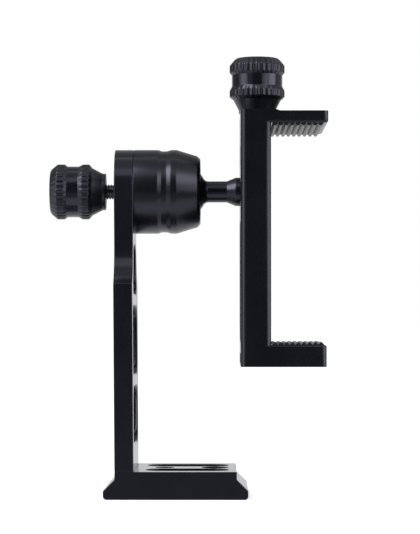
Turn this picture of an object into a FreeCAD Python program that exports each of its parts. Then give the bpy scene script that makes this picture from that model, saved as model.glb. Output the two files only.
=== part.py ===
import FreeCAD, Part
import math
import os
import re

import Sketcher

# A phone clamp on a locking ball joint, carried by an upright arm on a dovetail foot.
# +Z is up, +X points from the arm to the phone, and Y runs along the dovetail. The origin is the
# centre of the foot's underside. Everything is in millimetres.

# Driving sizes: each is set by itself
SIZES = [
    # Dovetail foot
    ("foot_length", 36.0),
    ("foot_base_width", 38.0),
    ("foot_flank", 3.0),
    ("foot_lip_height", 2.3),
    ("foot_height", 7.3),
    ("foot_edge_round", 1.0),
    ("foot_slot_start_gap", 2.9),
    ("foot_slot_end_margin", 2.1),
    ("foot_slot_width", 9.0),
    ("foot_slot_corner", 4.3),
    ("foot_slot_spacing", 18.0),
    ("locating_hole_radius", 2.5),
    ("locating_hole_gap", 7.7),
    ("tripod_thread_radius", 2.55),
    ("tripod_thread_margin", 5.8),
    ("tripod_countersink", 1.2),
    # Upright arm
    ("arm_thickness", 5.0),
    ("arm_head_wall", 1.55),
    ("arm_neck_drop", 13.4),
    ("arm_flare_radius", 13.0),
    ("arm_edge_round", 0.5),
    ("window_rail", 4.0),
    ("window_corner", 4.0),
    ("window_foot", 6.7),
    ("window_bar", 3.5),
    ("low_window_height", 15.0),
    ("high_window_drop", 2.3),
    ("high_window_gap", 0.8),
    ("high_window_corner", 2.5),
    ("window_edge", 0.8),
    # Screws that hold the arm on the foot
    ("foot_screw_radius", 1.5),
    ("foot_screw_head_radius", 2.8),
    ("foot_screw_head_sink", 0.3),
    ("foot_screw_bite", 5.2),
    ("foot_screw_spacing", 22.0),
    ("foot_screw_hex", 1.0),
    # Ball joint, measured from the ball's centre
    ("ball_height", 81.5),
    ("ball_radius", 8.0),
    ("ball_clearance", 0.1),
    ("housing_nose_drop", 1.65),
    ("housing_nose_round", 0.8),
    ("housing_nose_length", 1.7),
    ("housing_crest_rise", 0.2),
    ("housing_crest_front", -0.1),
    ("housing_crest_back", -1.4),
    ("housing_groove_depth", 0.35),
    ("housing_groove_slope", 1.1),
    ("housing_groove_back", -4.75),
    ("housing_lip_setback", 3.7),
    ("housing_lip_flare", 0.5),
    ("housing_bore_allowance", 0.3),
    ("housing_bore_step", 1.0),
    ("spigot_wall", 1.1),
    ("spigot_length", 1.9),
    ("spigot_clearance", 0.05),
    ("seat_wall", 1.7),
    ("seat_rim_place", 2.6),
    ("seat_clearance", 0.1),
    # Stud that leaves the ball
    ("stem_radius", 2.65),
    ("neck_round", 1.5),
    ("flare_length", 2.6),
    ("flare_land", 0.4),
    ("flare_radius", 3.85),
    ("stud_reach", 17.0),
    ("stud_pin_radius", 2.5),
    ("running_clearance", 0.05),
    # Lock screw and its disc and bush
    ("screw_radius", 1.9),
    ("screw_tip_chamfer", 0.4),
    ("disc_radius", 5.0),
    ("disc_thickness", 1.2),
    ("disc_pocket", 0.7),
    ("disc_back_room", 2.0),
    ("bush_wall", 1.1),
    ("bush_flange_rim", 0.9),
    ("bush_flange_thickness", 0.5),
    ("lock_knob_gap", 2.7),
    # Ribbed knobs: heights run from the flange to the outer end
    ("knob_flange_radius", 4.75),
    ("knob_flange_height", 0.9),
    ("knob_cone_radius", 6.05),
    ("knob_cone_height", 3.85),
    ("knob_band_height", 3.2),
    ("knob_neck_height", 3.55),
    ("knob_end_height", 1.1),
    ("knob_band_radius", 7.35),
    ("knob_band_rise", 0.62),
    ("knob_band_slope", 0.4),
    ("knob_end_radius", 5.6),
    ("knob_rib_count", 32.0),
    ("knob_rib_depth", 0.5),
    ("knob_rib_gap", 1.15),
    ("knob_bore_depth", 8.0),
    # Phone clamp
    ("clamp_width", 36.0),
    ("spine_front_wall", 3.4),
    ("spine_round", 1.5),
    ("tip_round", 1.25),
    ("clamp_drop", 46.85),
    ("lower_jaw_lip", 0.6),
    ("lower_jaw_thickness", 5.8),
    ("upper_jaw_lip", 1.1),
    ("upper_jaw_thickness", 3.2),
    ("upper_jaw_height", 13.8),
    ("upper_jaw_step", 0.4),
    ("upper_jaw_step_gap", 1.2),
    ("upper_jaw_step_run", 1.1),
    ("back_pocket_depth", 1.5),
    ("back_pocket_corner", 3.0),
    ("back_pocket_margin", 3.0),
    ("back_pocket_drop", 8.1),
    ("back_pocket_foot", 6.5),
    ("bottom_pocket_depth", 1.2),
    ("bottom_pocket_foot", 0.8),
    ("bottom_pocket_height", 2.6),
    ("bottom_pocket_corner", 1.0),
    ("notch_height", 5.7),
    ("notch_width", 11.0),
    ("notch_spare", 0.35),
    # Jaw screw, guide rods and fittings
    ("jaw_travel", 30.0),
    ("jaw_screw_inset", 4.6),
    ("jaw_screw_clearance", 0.3),
    ("insert_length", 4.0),
    ("insert_wall", 0.85),
    ("insert_gap", 0.35),
    ("bore_spare", 2.0),
    ("rod_radius", 1.5),
    ("rod_inset", 4.0),
    ("rod_spacing", 22.0),
    ("rod_bite", 8.6),
    ("rod_overlap", 6.4),
    ("washer_thickness", 0.4),
    ("washer_radius", 4.7),
    ("washer_clearance", 0.2),
    ("clip_rim", 0.35),
    ("clip_thickness", 0.6),
    ("clip_groove_depth", 0.45),
    ("clip_opening", 2.2),
    # Ridged pads
    ("pad_inset", 0.8),
    ("pad_gap", 0.3),
    ("pad_length", 13.6),
    ("pad_side_margin", 1.0),
    ("pad_rib_height", 0.7),
    ("pad_rib_pitch", 1.5),
    ("pad_rib_crest", 0.4),
]

# Places that follow from the driving sizes
PLACES = [
    # Foot
    ("base_edge", "foot_base_width / 2"),
    ("neck_edge", "base_edge - foot_flank"),
    ("flank_top", "foot_lip_height + foot_flank"),
    ("arm_back", "-neck_edge"),
    ("arm_front", "arm_back + arm_thickness"),
    ("arm_middle", "arm_back + arm_thickness / 2"),
    ("foot_slot_start", "arm_front + foot_slot_start_gap"),
    ("foot_slot_end", "neck_edge - foot_slot_end_margin"),
    ("locating_hole_place", "arm_front + locating_hole_gap"),
    ("tripod_thread_place", "neck_edge - tripod_thread_margin"),
    ("foot_screw_head_height", "foot_screw_head_radius - foot_screw_radius"),
    # Ball joint
    ("socket_radius", "ball_radius + ball_clearance"),
    ("housing_bore", "ball_radius + housing_bore_allowance"),
    ("spigot_radius", "housing_bore + spigot_wall"),
    ("arm_head_radius", "spigot_radius + spigot_clearance + arm_head_wall"),
    ("arm_socket_depth", "spigot_length + 0.1"),
    ("seat_back", "-(socket_radius + seat_wall)"),
    ("disc_back", "seat_back - disc_thickness"),
    ("ball_reach", "disc_back_room - disc_back - arm_socket_depth"),
    ("ball_place", "arm_front + ball_reach"),
    ("housing_crest_radius", "arm_head_radius + housing_crest_rise"),
    ("housing_groove_radius", "arm_head_radius - housing_groove_depth"),
    ("housing_nose_radius", "arm_head_radius - housing_nose_drop"),
    ("housing_face_radius", "housing_nose_radius - housing_nose_round - 0.05"),
    ("housing_lip_place", "socket_radius - housing_lip_setback"),
    ("housing_lip_radius", "sqrt(pow(socket_radius; 2) - pow(housing_lip_place; 2))"),
    ("housing_front", "housing_lip_place + housing_nose_length"),
    ("lock_screw_tip", "disc_back + disc_pocket - running_clearance"),
    ("bush_radius", "screw_radius + bush_wall"),
    ("bush_floor", "-ball_reach - arm_socket_depth"),
    ("bush_outside", "-ball_reach - arm_thickness"),
    ("lock_knob_place", "bush_outside - bush_flange_thickness - lock_knob_gap"),
    ("flare_start", "stud_reach - flare_land - flare_length"),
    ("stud_pin_length", "jaw_screw_inset - screw_radius - 0.5"),
    # Arm
    ("arm_side", "foot_length / 2"),
    ("flare_side", "arm_head_radius + arm_flare_radius"),
    ("flare_top", "ball_height - arm_neck_drop"),
    ("arm_shoulder_height", "flare_top - sqrt(pow(arm_flare_radius; 2)"
                            " - pow(flare_side - arm_side; 2))"),
    ("high_window_bottom", "arm_shoulder_height - high_window_drop"),
    ("high_window_top", "flare_top - high_window_gap"),
    ("low_window_bottom", "foot_height + window_foot"),
    ("low_window_top", "low_window_bottom + low_window_height"),
    ("middle_window_bottom", "low_window_top + window_bar"),
    ("middle_window_top", "high_window_bottom - window_bar"),
    # Knobs, from the flange to the outer end
    ("knob_body_radius", "knob_band_radius - knob_band_rise"),
    ("knob_low_band_top", "knob_cone_height + knob_band_height"),
    ("knob_high_band_bottom", "knob_low_band_top + knob_neck_height"),
    ("knob_high_band_top", "knob_high_band_bottom + knob_band_height"),
    ("knob_length", "knob_high_band_top + knob_end_height"),
    # Phone clamp
    ("spine_thickness", "jaw_screw_inset + spine_front_wall"),
    ("clamp_back", "ball_place + stud_reach"),
    ("clamp_front", "clamp_back + spine_thickness"),
    ("clamp_top", "ball_height + stud_pin_radius + running_clearance + insert_gap + insert_length"),
    ("clamp_bottom", "ball_height - clamp_drop"),
    ("lower_jaw_top", "clamp_bottom + lower_jaw_thickness"),
    ("jaw_top", "clamp_top + upper_jaw_height"),
    ("upper_jaw_top", "jaw_top - upper_jaw_step"),
    ("upper_jaw_bottom", "upper_jaw_top - upper_jaw_thickness"),
    ("pad_start", "clamp_front + pad_gap"),
    ("pad_end", "pad_start + pad_length"),
    ("pad_side", "clamp_width / 2 - pad_side_margin"),
    ("lower_jaw_tip", "pad_end + lower_jaw_lip"),
    ("upper_jaw_tip", "pad_end + upper_jaw_lip"),
    ("back_pocket_side", "clamp_width / 2 - back_pocket_margin"),
    ("jaw_screw_place", "clamp_back + jaw_screw_inset"),
    ("jaw_screw_tip", "clamp_top - jaw_travel - insert_length - bore_spare"),
    ("jaw_bore", "screw_radius + jaw_screw_clearance"),
    ("insert_radius", "screw_radius + insert_wall"),
    ("rod_place", "clamp_back + rod_inset"),
    ("rod_tip", "clamp_top - jaw_travel - rod_overlap"),
    ("clip_radius", "screw_radius + clip_rim"),
    ("clip_neck", "screw_radius - clip_groove_depth"),
    ("notch_depth", "jaw_screw_inset + clip_radius + notch_spare"),
    ("notch_roof", "clamp_top + notch_height"),
    ("clip_top", "notch_roof - 0.1"),
    ("jaw_knob_place", "jaw_top + washer_thickness"),
]

NAMES = {name for name, _ in SIZES + PLACES}

doc = FreeCAD.newDocument("tripod_phone_mount")
sheet = doc.addObject("Spreadsheet::Sheet", "Sizes")
for row, (name, number) in enumerate(SIZES, start=1):
    sheet.set(f"A{row}", name)
    sheet.set(f"B{row}", str(number))
    sheet.setAlias(f"B{row}", name)
for row, (name, formula) in enumerate(PLACES, start=len(SIZES) + 2):
    sheet.set(f"A{row}", name)
    sheet.set(f"B{row}", "=" + formula)
    sheet.setAlias(f"B{row}", name)
doc.recompute()


def bound(text):
    """Write a formula of sizes as an expression on the sheet."""
    return re.sub(r"[a-z_]+", lambda word: "Sizes." + word[0] if word[0] in NAMES else word[0], text)


def number_of(text):
    return float(sheet.evalExpression(bound(text)))


def bind(thing, prop, text):
    thing.setExpression(prop, bound(text))


# Sketches and features


def new_body(label, across="0", up="0"):
    """A body whose own origin lies at a place of the object."""
    body = doc.addObject("PartDesign::Body", label)
    body.Label = label
    bind(body, "Placement.Base.x", across)
    bind(body, "Placement.Base.z", up)
    return body


def new_sketch(body, name, plane, offset="0"):
    sketch = body.newObject("Sketcher::SketchObject", name)
    origin_plane = next(item for item in body.Origin.OriginFeatures if item.Role == plane)
    sketch.AttachmentSupport = (origin_plane, "")
    sketch.MapMode = "FlatFace"
    bind(sketch, "AttachmentOffset.Base.z", offset)
    return sketch


def pin_point(sketch, geometry, position, across, up):
    """Hold one point of a sketch at two formulas."""
    for kind, text in (("DistanceX", across), ("DistanceY", up)):
        datum = Sketcher.Constraint(kind, -1, 1, geometry, position, number_of(text))
        index = sketch.addConstraint(datum)
        label = f"{kind.lower()}_{geometry}_{position}"
        sketch.renameConstraint(index, label)
        bind(sketch, "Constraints." + label, text)


def set_radius(sketch, geometry, text):
    index = sketch.addConstraint(Sketcher.Constraint("Radius", geometry, number_of(text)))
    sketch.renameConstraint(index, f"radius_{geometry}")
    bind(sketch, f"Constraints.radius_{geometry}", text)


def arc_between(start, end, radius, turns_left):
    """The shorter arc of a radius from start to end."""
    chord = end - start
    left = FreeCAD.Vector(-chord.y, chord.x, 0).normalize()
    rise = math.sqrt(max(radius ** 2 - (chord.Length / 2) ** 2, 0))
    centre = start + chord / 2 + left * (rise if turns_left else -rise)
    first, last = (start, end) if turns_left else (end, start)
    first_angle = math.atan2(first.y - centre.y, first.x - centre.x)
    last_angle = math.atan2(last.y - centre.y, last.x - centre.x)
    if last_angle < first_angle:
        last_angle += 2 * math.pi
    circle = Part.Circle(centre, FreeCAD.Vector(0, 0, 1), radius)
    return Part.ArcOfCircle(circle, first_angle, last_angle)


def outline(sketch, corners):
    """Close a profile. A corner is (across, up), and (across, up, radius, "left" or "right") where
    the stretch to the next corner is an arc that turns that way."""
    spots = [FreeCAD.Vector(number_of(corner[0]), number_of(corner[1]), 0) for corner in corners]
    edges = []
    for index, corner in enumerate(corners):
        start = spots[index]
        end = spots[(index + 1) % len(spots)]
        if len(corner) == 2:
            geometry = sketch.addGeometry(Part.LineSegment(start, end), False)
            edges.append((geometry, 1, 2))
            continue
        turns_left = corner[3] == "left"
        arc = arc_between(start, end, number_of(corner[2]), turns_left)
        geometry = sketch.addGeometry(arc, False)
        edges.append((geometry, 1, 2) if turns_left else (geometry, 2, 1))
    for index, (geometry, _, last) in enumerate(edges):
        following, first, _ = edges[(index + 1) % len(edges)]
        sketch.addConstraint(Sketcher.Constraint("Coincident", geometry, last, following, first))
    for (geometry, first, _), corner in zip(edges, corners):
        pin_point(sketch, geometry, first, corner[0], corner[1])
        if len(corner) > 2:
            set_radius(sketch, geometry, corner[2])


def box_outline(sketch, left, bottom, right, top):
    outline(sketch, [(left, bottom), (right, bottom), (right, top), (left, top)])


def rounded_outline(sketch, left, bottom, right, top, corner):
    """A rectangle with four round corners."""
    outline(sketch, [
        (f"{left} + {corner}", bottom),
        (f"{right} - {corner}", bottom, corner, "left"),
        (right, f"{bottom} + {corner}"),
        (right, f"{top} - {corner}", corner, "left"),
        (f"{right} - {corner}", top),
        (f"{left} + {corner}", top, corner, "left"),
        (left, f"{top} - {corner}"),
        (left, f"{bottom} + {corner}", corner, "left"),
    ])


def circle(sketch, across, up, radius):
    centre = FreeCAD.Vector(number_of(across), number_of(up), 0)
    ring = Part.Circle(centre, FreeCAD.Vector(0, 0, 1), number_of(radius))
    geometry = sketch.addGeometry(ring, False)
    pin_point(sketch, geometry, 3, across, up)
    set_radius(sketch, geometry, radius)


def pad(body, sketch, length, side="One side", backwards=False):
    feature = body.newObject("PartDesign::Pad", sketch.Name + "_pad")
    feature.Profile = sketch
    feature.SideType = side
    feature.Reversed = backwards
    bind(feature, "Length", length)
    return feature


def pocket(body, sketch, depth, backwards=False):
    """Cut a sketch into its body, and stop the build if nothing was removed."""
    doc.recompute()
    volume = body.Shape.Volume
    feature = body.newObject("PartDesign::Pocket", sketch.Name + "_pocket")
    feature.Profile = sketch
    feature.Reversed = backwards
    if depth == "through":
        feature.Type = "ThroughAll"
        feature.SideType = "Symmetric"
    else:
        bind(feature, "Length", depth)
    doc.recompute()
    if body.Shape.Volume > volume - 1e-6:
        raise RuntimeError(f"{sketch.Name} cuts nothing")
    return feature


def turn(body, sketch, axis):
    """Revolve a sketch a full turn about its own horizontal or vertical axis."""
    feature = body.newObject("PartDesign::Revolution", sketch.Name + "_turned")
    feature.Profile = sketch
    feature.ReferenceAxis = (sketch, [axis])
    feature.Angle = 360
    return feature


def edges_where(shape, test):
    return [f"Edge{index}" for index, edge in enumerate(shape.Edges, start=1) if test(edge)]


def dress(body, kind, name, size, test):
    """Fillet or chamfer the edges of the body that a test picks."""
    doc.recompute()
    base = body.Tip
    names = edges_where(base.Shape, test)
    if not names:
        raise RuntimeError(f"{name} finds no edges")
    feature = body.newObject("PartDesign::" + kind, name)
    feature.Base = (base, names)
    bind(feature, "Radius" if kind == "Fillet" else "Size", size)
    return feature


def is_straight(edge, axis):
    """True for a straight edge along one axis: 0 is X, 1 is Y and 2 is Z."""
    if edge.Curve.TypeId != "Part::GeomLine":
        return False
    return abs(edge.Curve.Direction[axis]) > 0.999


def near(first, second, reach=0.01):
    return abs(first - second) < reach


# Dovetail foot


def dovetail_foot():
    body = new_body("dovetail_foot")
    profile = new_sketch(body, "dovetail_profile", "XZ_Plane")
    outline(profile, [
        ("-base_edge + foot_edge_round", "0"),
        ("base_edge - foot_edge_round", "0", "foot_edge_round", "left"),
        ("base_edge", "foot_edge_round"),
        ("base_edge", "foot_lip_height"),
        ("neck_edge", "flank_top"),
        ("neck_edge", "foot_height"),
        ("-neck_edge", "foot_height"),
        ("-neck_edge", "flank_top"),
        ("-base_edge", "foot_lip_height"),
        ("-base_edge", "foot_edge_round", "foot_edge_round", "left"),
    ])
    pad(body, profile, "foot_length", "Symmetric")

    slots = new_sketch(body, "long_slots", "XY_Plane", "foot_height")
    for side in ("-", ""):
        rounded_outline(
            slots,
            "foot_slot_start",
            f"{side}foot_slot_spacing / 2 - foot_slot_width / 2",
            "foot_slot_end",
            f"{side}foot_slot_spacing / 2 + foot_slot_width / 2",
            "foot_slot_corner",
        )
    pocket(body, slots, "foot_height")

    holes = new_sketch(body, "middle_holes", "XY_Plane", "foot_height")
    circle(holes, "locating_hole_place", "0", "locating_hole_radius")
    circle(holes, "tripod_thread_place", "0", "tripod_thread_radius")
    for side in ("-", ""):
        circle(holes, "arm_middle", f"{side}foot_screw_spacing / 2", "foot_screw_radius + running_clearance")
    pocket(body, holes, "foot_height")

    def on_rim(edge, across, aside, height, radius):
        if edge.Curve.TypeId != "Part::GeomCircle" or not near(edge.Curve.Radius, radius):
            return False
        centre = edge.Curve.Center
        return near(centre.x, across) and near(abs(centre.y), aside) and near(centre.z, height)

    thread = number_of("tripod_thread_place")
    thread_radius = number_of("tripod_thread_radius")
    top = number_of("foot_height")
    dress(body, "Chamfer", "tripod_countersinks", "tripod_countersink",
          lambda edge: any(on_rim(edge, thread, 0, height, thread_radius) for height in (0, top)))

    screw = number_of("arm_middle")
    screw_side = number_of("foot_screw_spacing / 2")
    screw_hole = number_of("foot_screw_radius + running_clearance")
    dress(body, "Chamfer", "screw_countersinks",
          "foot_screw_head_radius - foot_screw_radius + foot_screw_head_sink",
          lambda edge: on_rim(edge, screw, screw_side, 0, screw_hole))
    return body


# Upright arm


def upright_arm():
    body = new_body("upright_arm")
    head = "ball_height"
    side = "arm_side"
    profile = new_sketch(body, "arm_profile", "YZ_Plane", "arm_back")
    outline(profile, [
        (f"-{side}", "foot_height"),
        (side, "foot_height"),
        (side, "arm_shoulder_height", "arm_flare_radius", "right"),
        ("arm_head_radius", "flare_top"),
        ("arm_head_radius", head, "arm_head_radius", "left"),
        ("0", f"{head} + arm_head_radius", "arm_head_radius", "left"),
        ("-arm_head_radius", head),
        ("-arm_head_radius", "flare_top", "arm_flare_radius", "right"),
        (f"-{side}", "arm_shoulder_height"),
    ])
    pad(body, profile, "arm_thickness")

    windows = new_sketch(body, "windows", "YZ_Plane", "arm_front")
    for bottom, top in (("low_window_bottom", "low_window_top"),
                        ("middle_window_bottom", "middle_window_top")):
        rounded_outline(windows, f"-{side} + window_rail", bottom, f"{side} - window_rail", top,
                        f"min(window_corner; ({top} - {bottom}) / 2 - 0.1)")
    pocket(body, windows, "arm_thickness")

    # The high window keeps the rail's width along the flare
    rail = "(arm_flare_radius + window_rail)"
    high_edge = "(flare_side - sqrt(pow({0}; 2) - pow(flare_top - {1}; 2)))"
    bottom_edge = high_edge.format(rail, "high_window_bottom")
    top_edge = high_edge.format(rail, "high_window_top")
    window = new_sketch(body, "high_window", "YZ_Plane", "arm_front")
    outline(window, [
        (f"-{bottom_edge}", "high_window_bottom"),
        (bottom_edge, "high_window_bottom", rail, "right"),
        (top_edge, "high_window_top"),
        (f"-{top_edge}", "high_window_top", rail, "right"),
    ])
    pocket(body, window, "arm_thickness")
    low = number_of("high_window_bottom")
    high = number_of("high_window_top")
    dress(body, "Fillet", "high_window_corners", "high_window_corner",
          lambda edge: is_straight(edge, 0)
          and any(near(edge.CenterOfMass.z, level) for level in (low, high)))

    front = number_of("arm_front")
    back = number_of("arm_back")
    foot_level = number_of("foot_height")
    top_level = number_of("flare_top")
    inner_side = number_of("arm_side - window_rail / 2")

    def on_window_rim(edge):
        box = edge.BoundBox
        return (near(box.XLength, 0) and (near(box.XMin, front) or near(box.XMin, back))
                and box.ZMin > foot_level + 1 and box.ZMax < top_level
                and max(-box.YMin, box.YMax) < inner_side)

    dress(body, "Chamfer", "window_rims", "window_edge", on_window_rim)

    # The housing's spigot and the bush sit in the head
    socket = new_sketch(body, "spigot_socket", "YZ_Plane", "arm_front")
    circle(socket, "0", head, "spigot_radius + spigot_clearance")
    pocket(body, socket, "arm_socket_depth")
    hole = new_sketch(body, "bush_hole", "YZ_Plane", "arm_front")
    circle(hole, "0", head, "bush_radius")
    pocket(body, hole, "arm_thickness")

    # Two blind holes take the screws from the foot
    taps = new_sketch(body, "screw_holes", "XY_Plane", "foot_height")
    for sign in ("-", ""):
        circle(taps, "arm_middle", f"{sign}foot_screw_spacing / 2",
               "foot_screw_radius + running_clearance")
    pocket(body, taps, "foot_screw_bite + 0.3", backwards=True)

    # Soft outer edges on the head and down both sides, on the two large faces
    half_width = number_of("arm_side")
    head_radius = number_of("arm_head_radius")

    def on_outside(edge):
        middle = edge.CenterOfMass
        if not (near(edge.BoundBox.XLength, 0) and (near(middle.x, back) or near(middle.x, front))):
            return False
        if edge.BoundBox.ZMax < foot_level + 1 or edge.Length < 8:
            return False
        if edge.Curve.TypeId == "Part::GeomCircle":
            return near(edge.Curve.Radius, head_radius) or near(
                edge.Curve.Radius, number_of("arm_flare_radius"))
        return is_straight(edge, 2) and (near(abs(middle.y), half_width)
                                         or near(abs(middle.y), head_radius))

    dress(body, "Chamfer", "arm_edges", "arm_edge_round", on_outside)
    return body


def foot_screws():
    """Two countersunk screws, from under the foot into the arm."""
    screw = doc.addObject("PartDesign::Body", "foot_screw")
    bind(screw, "Placement.Base.x", "arm_middle")
    bind(screw, "Placement.Base.y", "foot_screw_spacing / 2")
    bind(screw, "Placement.Base.z", "foot_screw_head_sink")
    profile = new_sketch(screw, "foot_screw_profile", "XZ_Plane")
    length = "foot_height - foot_screw_head_sink + foot_screw_bite"
    outline(profile, [
        ("0", "0"),
        ("foot_screw_head_radius", "0"),
        ("foot_screw_radius", "foot_screw_head_height"),
        ("foot_screw_radius", f"{length} - screw_tip_chamfer"),
        ("foot_screw_radius - screw_tip_chamfer", length),
        ("0", length),
    ])
    turn(screw, profile, "V_Axis")
    drive = new_sketch(screw, "foot_screw_drive", "XY_Plane")
    circle(drive, "0", "0", "foot_screw_hex")
    pocket(screw, drive, "foot_screw_hex", backwards=True)
    twin = doc.addObject("Part::Mirroring", "foot_screw_twin")
    twin.Source = screw
    twin.Normal = FreeCAD.Vector(0, 1, 0)
    pair = doc.addObject("Part::Compound", "foot_screws")
    pair.Label = "foot_screws"
    pair.Links = [screw, twin]
    return pair


# Ball joint: every body here has its origin at the ball's centre


def ball_housing():
    body = new_body("ball_housing", "ball_place", "ball_height")
    profile = new_sketch(body, "housing_profile", "XZ_Plane")
    back = "-ball_reach"
    spigot_end = "-ball_reach - spigot_length"
    outline(profile, [
        (spigot_end, "housing_bore"),
        ("-housing_bore_step", "housing_bore"),
        ("-housing_bore_step", "socket_radius"),
        ("0", "socket_radius", "socket_radius", "right"),
        ("housing_lip_place", "housing_lip_radius"),
        ("housing_front", "housing_lip_radius + housing_lip_flare"),
        ("housing_front", "housing_face_radius", "housing_nose_round", "left"),
        ("housing_front - housing_nose_round", "housing_nose_radius"),
        ("housing_crest_front", "housing_crest_radius"),
        ("housing_crest_back", "housing_crest_radius"),
        ("housing_crest_back - housing_groove_slope", "housing_groove_radius"),
        ("housing_groove_back + housing_groove_depth", "housing_groove_radius"),
        ("housing_groove_back", "arm_head_radius"),
        (back, "arm_head_radius"),
        (back, "spigot_radius"),
        (spigot_end, "spigot_radius"),
    ])
    turn(body, profile, "H_Axis")
    return body


def ball_seat():
    body = new_body("ball_seat", "ball_place", "ball_height")
    profile = new_sketch(body, "seat_profile", "XZ_Plane")
    outer = "housing_bore - seat_clearance"
    outline(profile, [
        ("-socket_radius", "0"),
        ("seat_back", "0"),
        ("seat_back", outer),
        ("-seat_rim_place", outer),
        ("-seat_rim_place", "sqrt(pow(socket_radius; 2) - pow(seat_rim_place; 2))",
         "socket_radius", "left"),
    ])
    turn(body, profile, "H_Axis")
    return body


def thrust_disc():
    body = new_body("thrust_disc", "ball_place", "ball_height")
    profile = new_sketch(body, "disc_profile", "XZ_Plane")
    pocket_floor = "disc_back + disc_pocket"
    pocket_radius = "screw_radius + running_clearance"
    outline(profile, [
        ("seat_back", "0"),
        ("seat_back", "disc_radius"),
        ("disc_back", "disc_radius"),
        ("disc_back", pocket_radius),
        (pocket_floor, pocket_radius),
        (pocket_floor, "0"),
    ])
    turn(body, profile, "H_Axis")
    return body


def lock_bush():
    body = new_body("lock_bush", "ball_place", "ball_height")
    profile = new_sketch(body, "bush_profile", "XZ_Plane")
    thread = "screw_radius + running_clearance"
    outline(profile, [
        ("bush_floor", thread),
        ("bush_floor", "bush_radius"),
        ("bush_outside", "bush_radius"),
        ("bush_outside", "bush_radius + bush_flange_rim"),
        ("bush_outside - bush_flange_thickness", "bush_radius + bush_flange_rim"),
        ("bush_outside - bush_flange_thickness", thread),
    ])
    turn(body, profile, "H_Axis")
    return body


def lock_screw():
    body = new_body("lock_screw", "ball_place", "ball_height")
    profile = new_sketch(body, "lock_screw_profile", "XZ_Plane")
    hidden_end = "lock_knob_place - knob_bore_depth"
    outline(profile, [
        ("lock_screw_tip", "0"),
        ("lock_screw_tip", "screw_radius - screw_tip_chamfer"),
        ("lock_screw_tip - screw_tip_chamfer", "screw_radius"),
        (hidden_end, "screw_radius"),
        (hidden_end, "0"),
    ])
    turn(body, profile, "H_Axis")
    return body


def ball_stud():
    body = new_body("ball_stud", "ball_place", "ball_height")
    profile = new_sketch(body, "stud_profile", "XZ_Plane")
    # The neck's fillet touches the ball where the line between their centres crosses it
    fillet_reach = "sqrt(pow(ball_radius + neck_round; 2) - pow(stem_radius + neck_round; 2))"
    share = "ball_radius / (ball_radius + neck_round)"
    pin_end = "stud_reach + stud_pin_length"
    outline(profile, [
        ("-ball_radius", "0", "ball_radius", "right"),
        ("0", "ball_radius", "ball_radius", "right"),
        (f"{fillet_reach} * {share}", f"(stem_radius + neck_round) * {share}", "neck_round", "left"),
        (fillet_reach, "stem_radius"),
        ("flare_start", "stem_radius"),
        ("flare_start + flare_length", "flare_radius"),
        ("stud_reach", "flare_radius"),
        ("stud_reach", "stud_pin_radius"),
        (pin_end, "stud_pin_radius"),
        (pin_end, "0"),
    ])
    turn(body, profile, "H_Axis")
    return body


# Ribbed knobs: the same knob locks the ball and moves the jaw


def ribbed_knob(label):
    """A knob that stands on its flange, with its outer end up."""
    body = doc.addObject("PartDesign::Body", label)
    body.Label = label
    profile = new_sketch(body, label + "_profile", "XZ_Plane")
    top = "knob_length"
    outline(profile, [
        ("screw_radius", "0"),
        ("knob_flange_radius", "0"),
        ("knob_flange_radius", "knob_flange_height"),
        ("knob_cone_radius", "knob_cone_height - knob_band_slope"),
        ("knob_band_radius", "knob_cone_height + knob_band_slope"),
        ("knob_band_radius", "knob_low_band_top - knob_band_slope"),
        ("knob_body_radius", "knob_low_band_top"),
        ("knob_body_radius", "knob_high_band_bottom"),
        ("knob_band_radius", "knob_high_band_bottom + knob_band_slope"),
        ("knob_band_radius", "knob_high_band_top - knob_band_slope"),
        ("knob_end_radius", top),
        ("0", top),
        ("0", "knob_bore_depth"),
        ("screw_radius", "knob_bore_depth"),
    ])
    turn(body, profile, "V_Axis")

    rib = new_sketch(body, label + "_rib_gap", "XY_Plane")
    outline(rib, [
        ("knob_band_radius - knob_rib_depth", "0"),
        ("knob_band_radius + 0.2", "-knob_rib_gap / 2 - 0.1"),
        ("knob_band_radius + 0.2", "knob_rib_gap / 2 + 0.1"),
    ])
    cut = pocket(body, rib, "knob_length", backwards=True)
    pattern = body.newObject("PartDesign::PolarPattern", label + "_ribs")
    pattern.Originals = [cut]
    pattern.Axis = (rib, ["N_Axis"])
    pattern.Angle = 360
    bind(pattern, "Occurrences", "round(knob_rib_count)")
    body.Tip = pattern
    return body


def lock_knob():
    body = ribbed_knob("lock_knob")
    body.Placement.Rotation = FreeCAD.Rotation(FreeCAD.Vector(0, 1, 0), -90)
    bind(body, "Placement.Base.x", "ball_place + lock_knob_place")
    bind(body, "Placement.Base.z", "ball_height")
    return body


def jaw_knob():
    body = ribbed_knob("jaw_knob")
    bind(body, "Placement.Base.x", "jaw_screw_place")
    bind(body, "Placement.Base.z", "jaw_knob_place")
    return body


# Phone clamp


def round_upright_edges(body, name, across, radius):
    """Fillet the upright edges at the clamp's two sides, at one distance from the arm."""
    side = number_of("clamp_width / 2")
    place = number_of(across)
    dress(body, "Fillet", name, radius,
          lambda edge: is_straight(edge, 2) and near(edge.CenterOfMass.x, place)
          and near(abs(edge.CenterOfMass.y), side))


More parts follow.
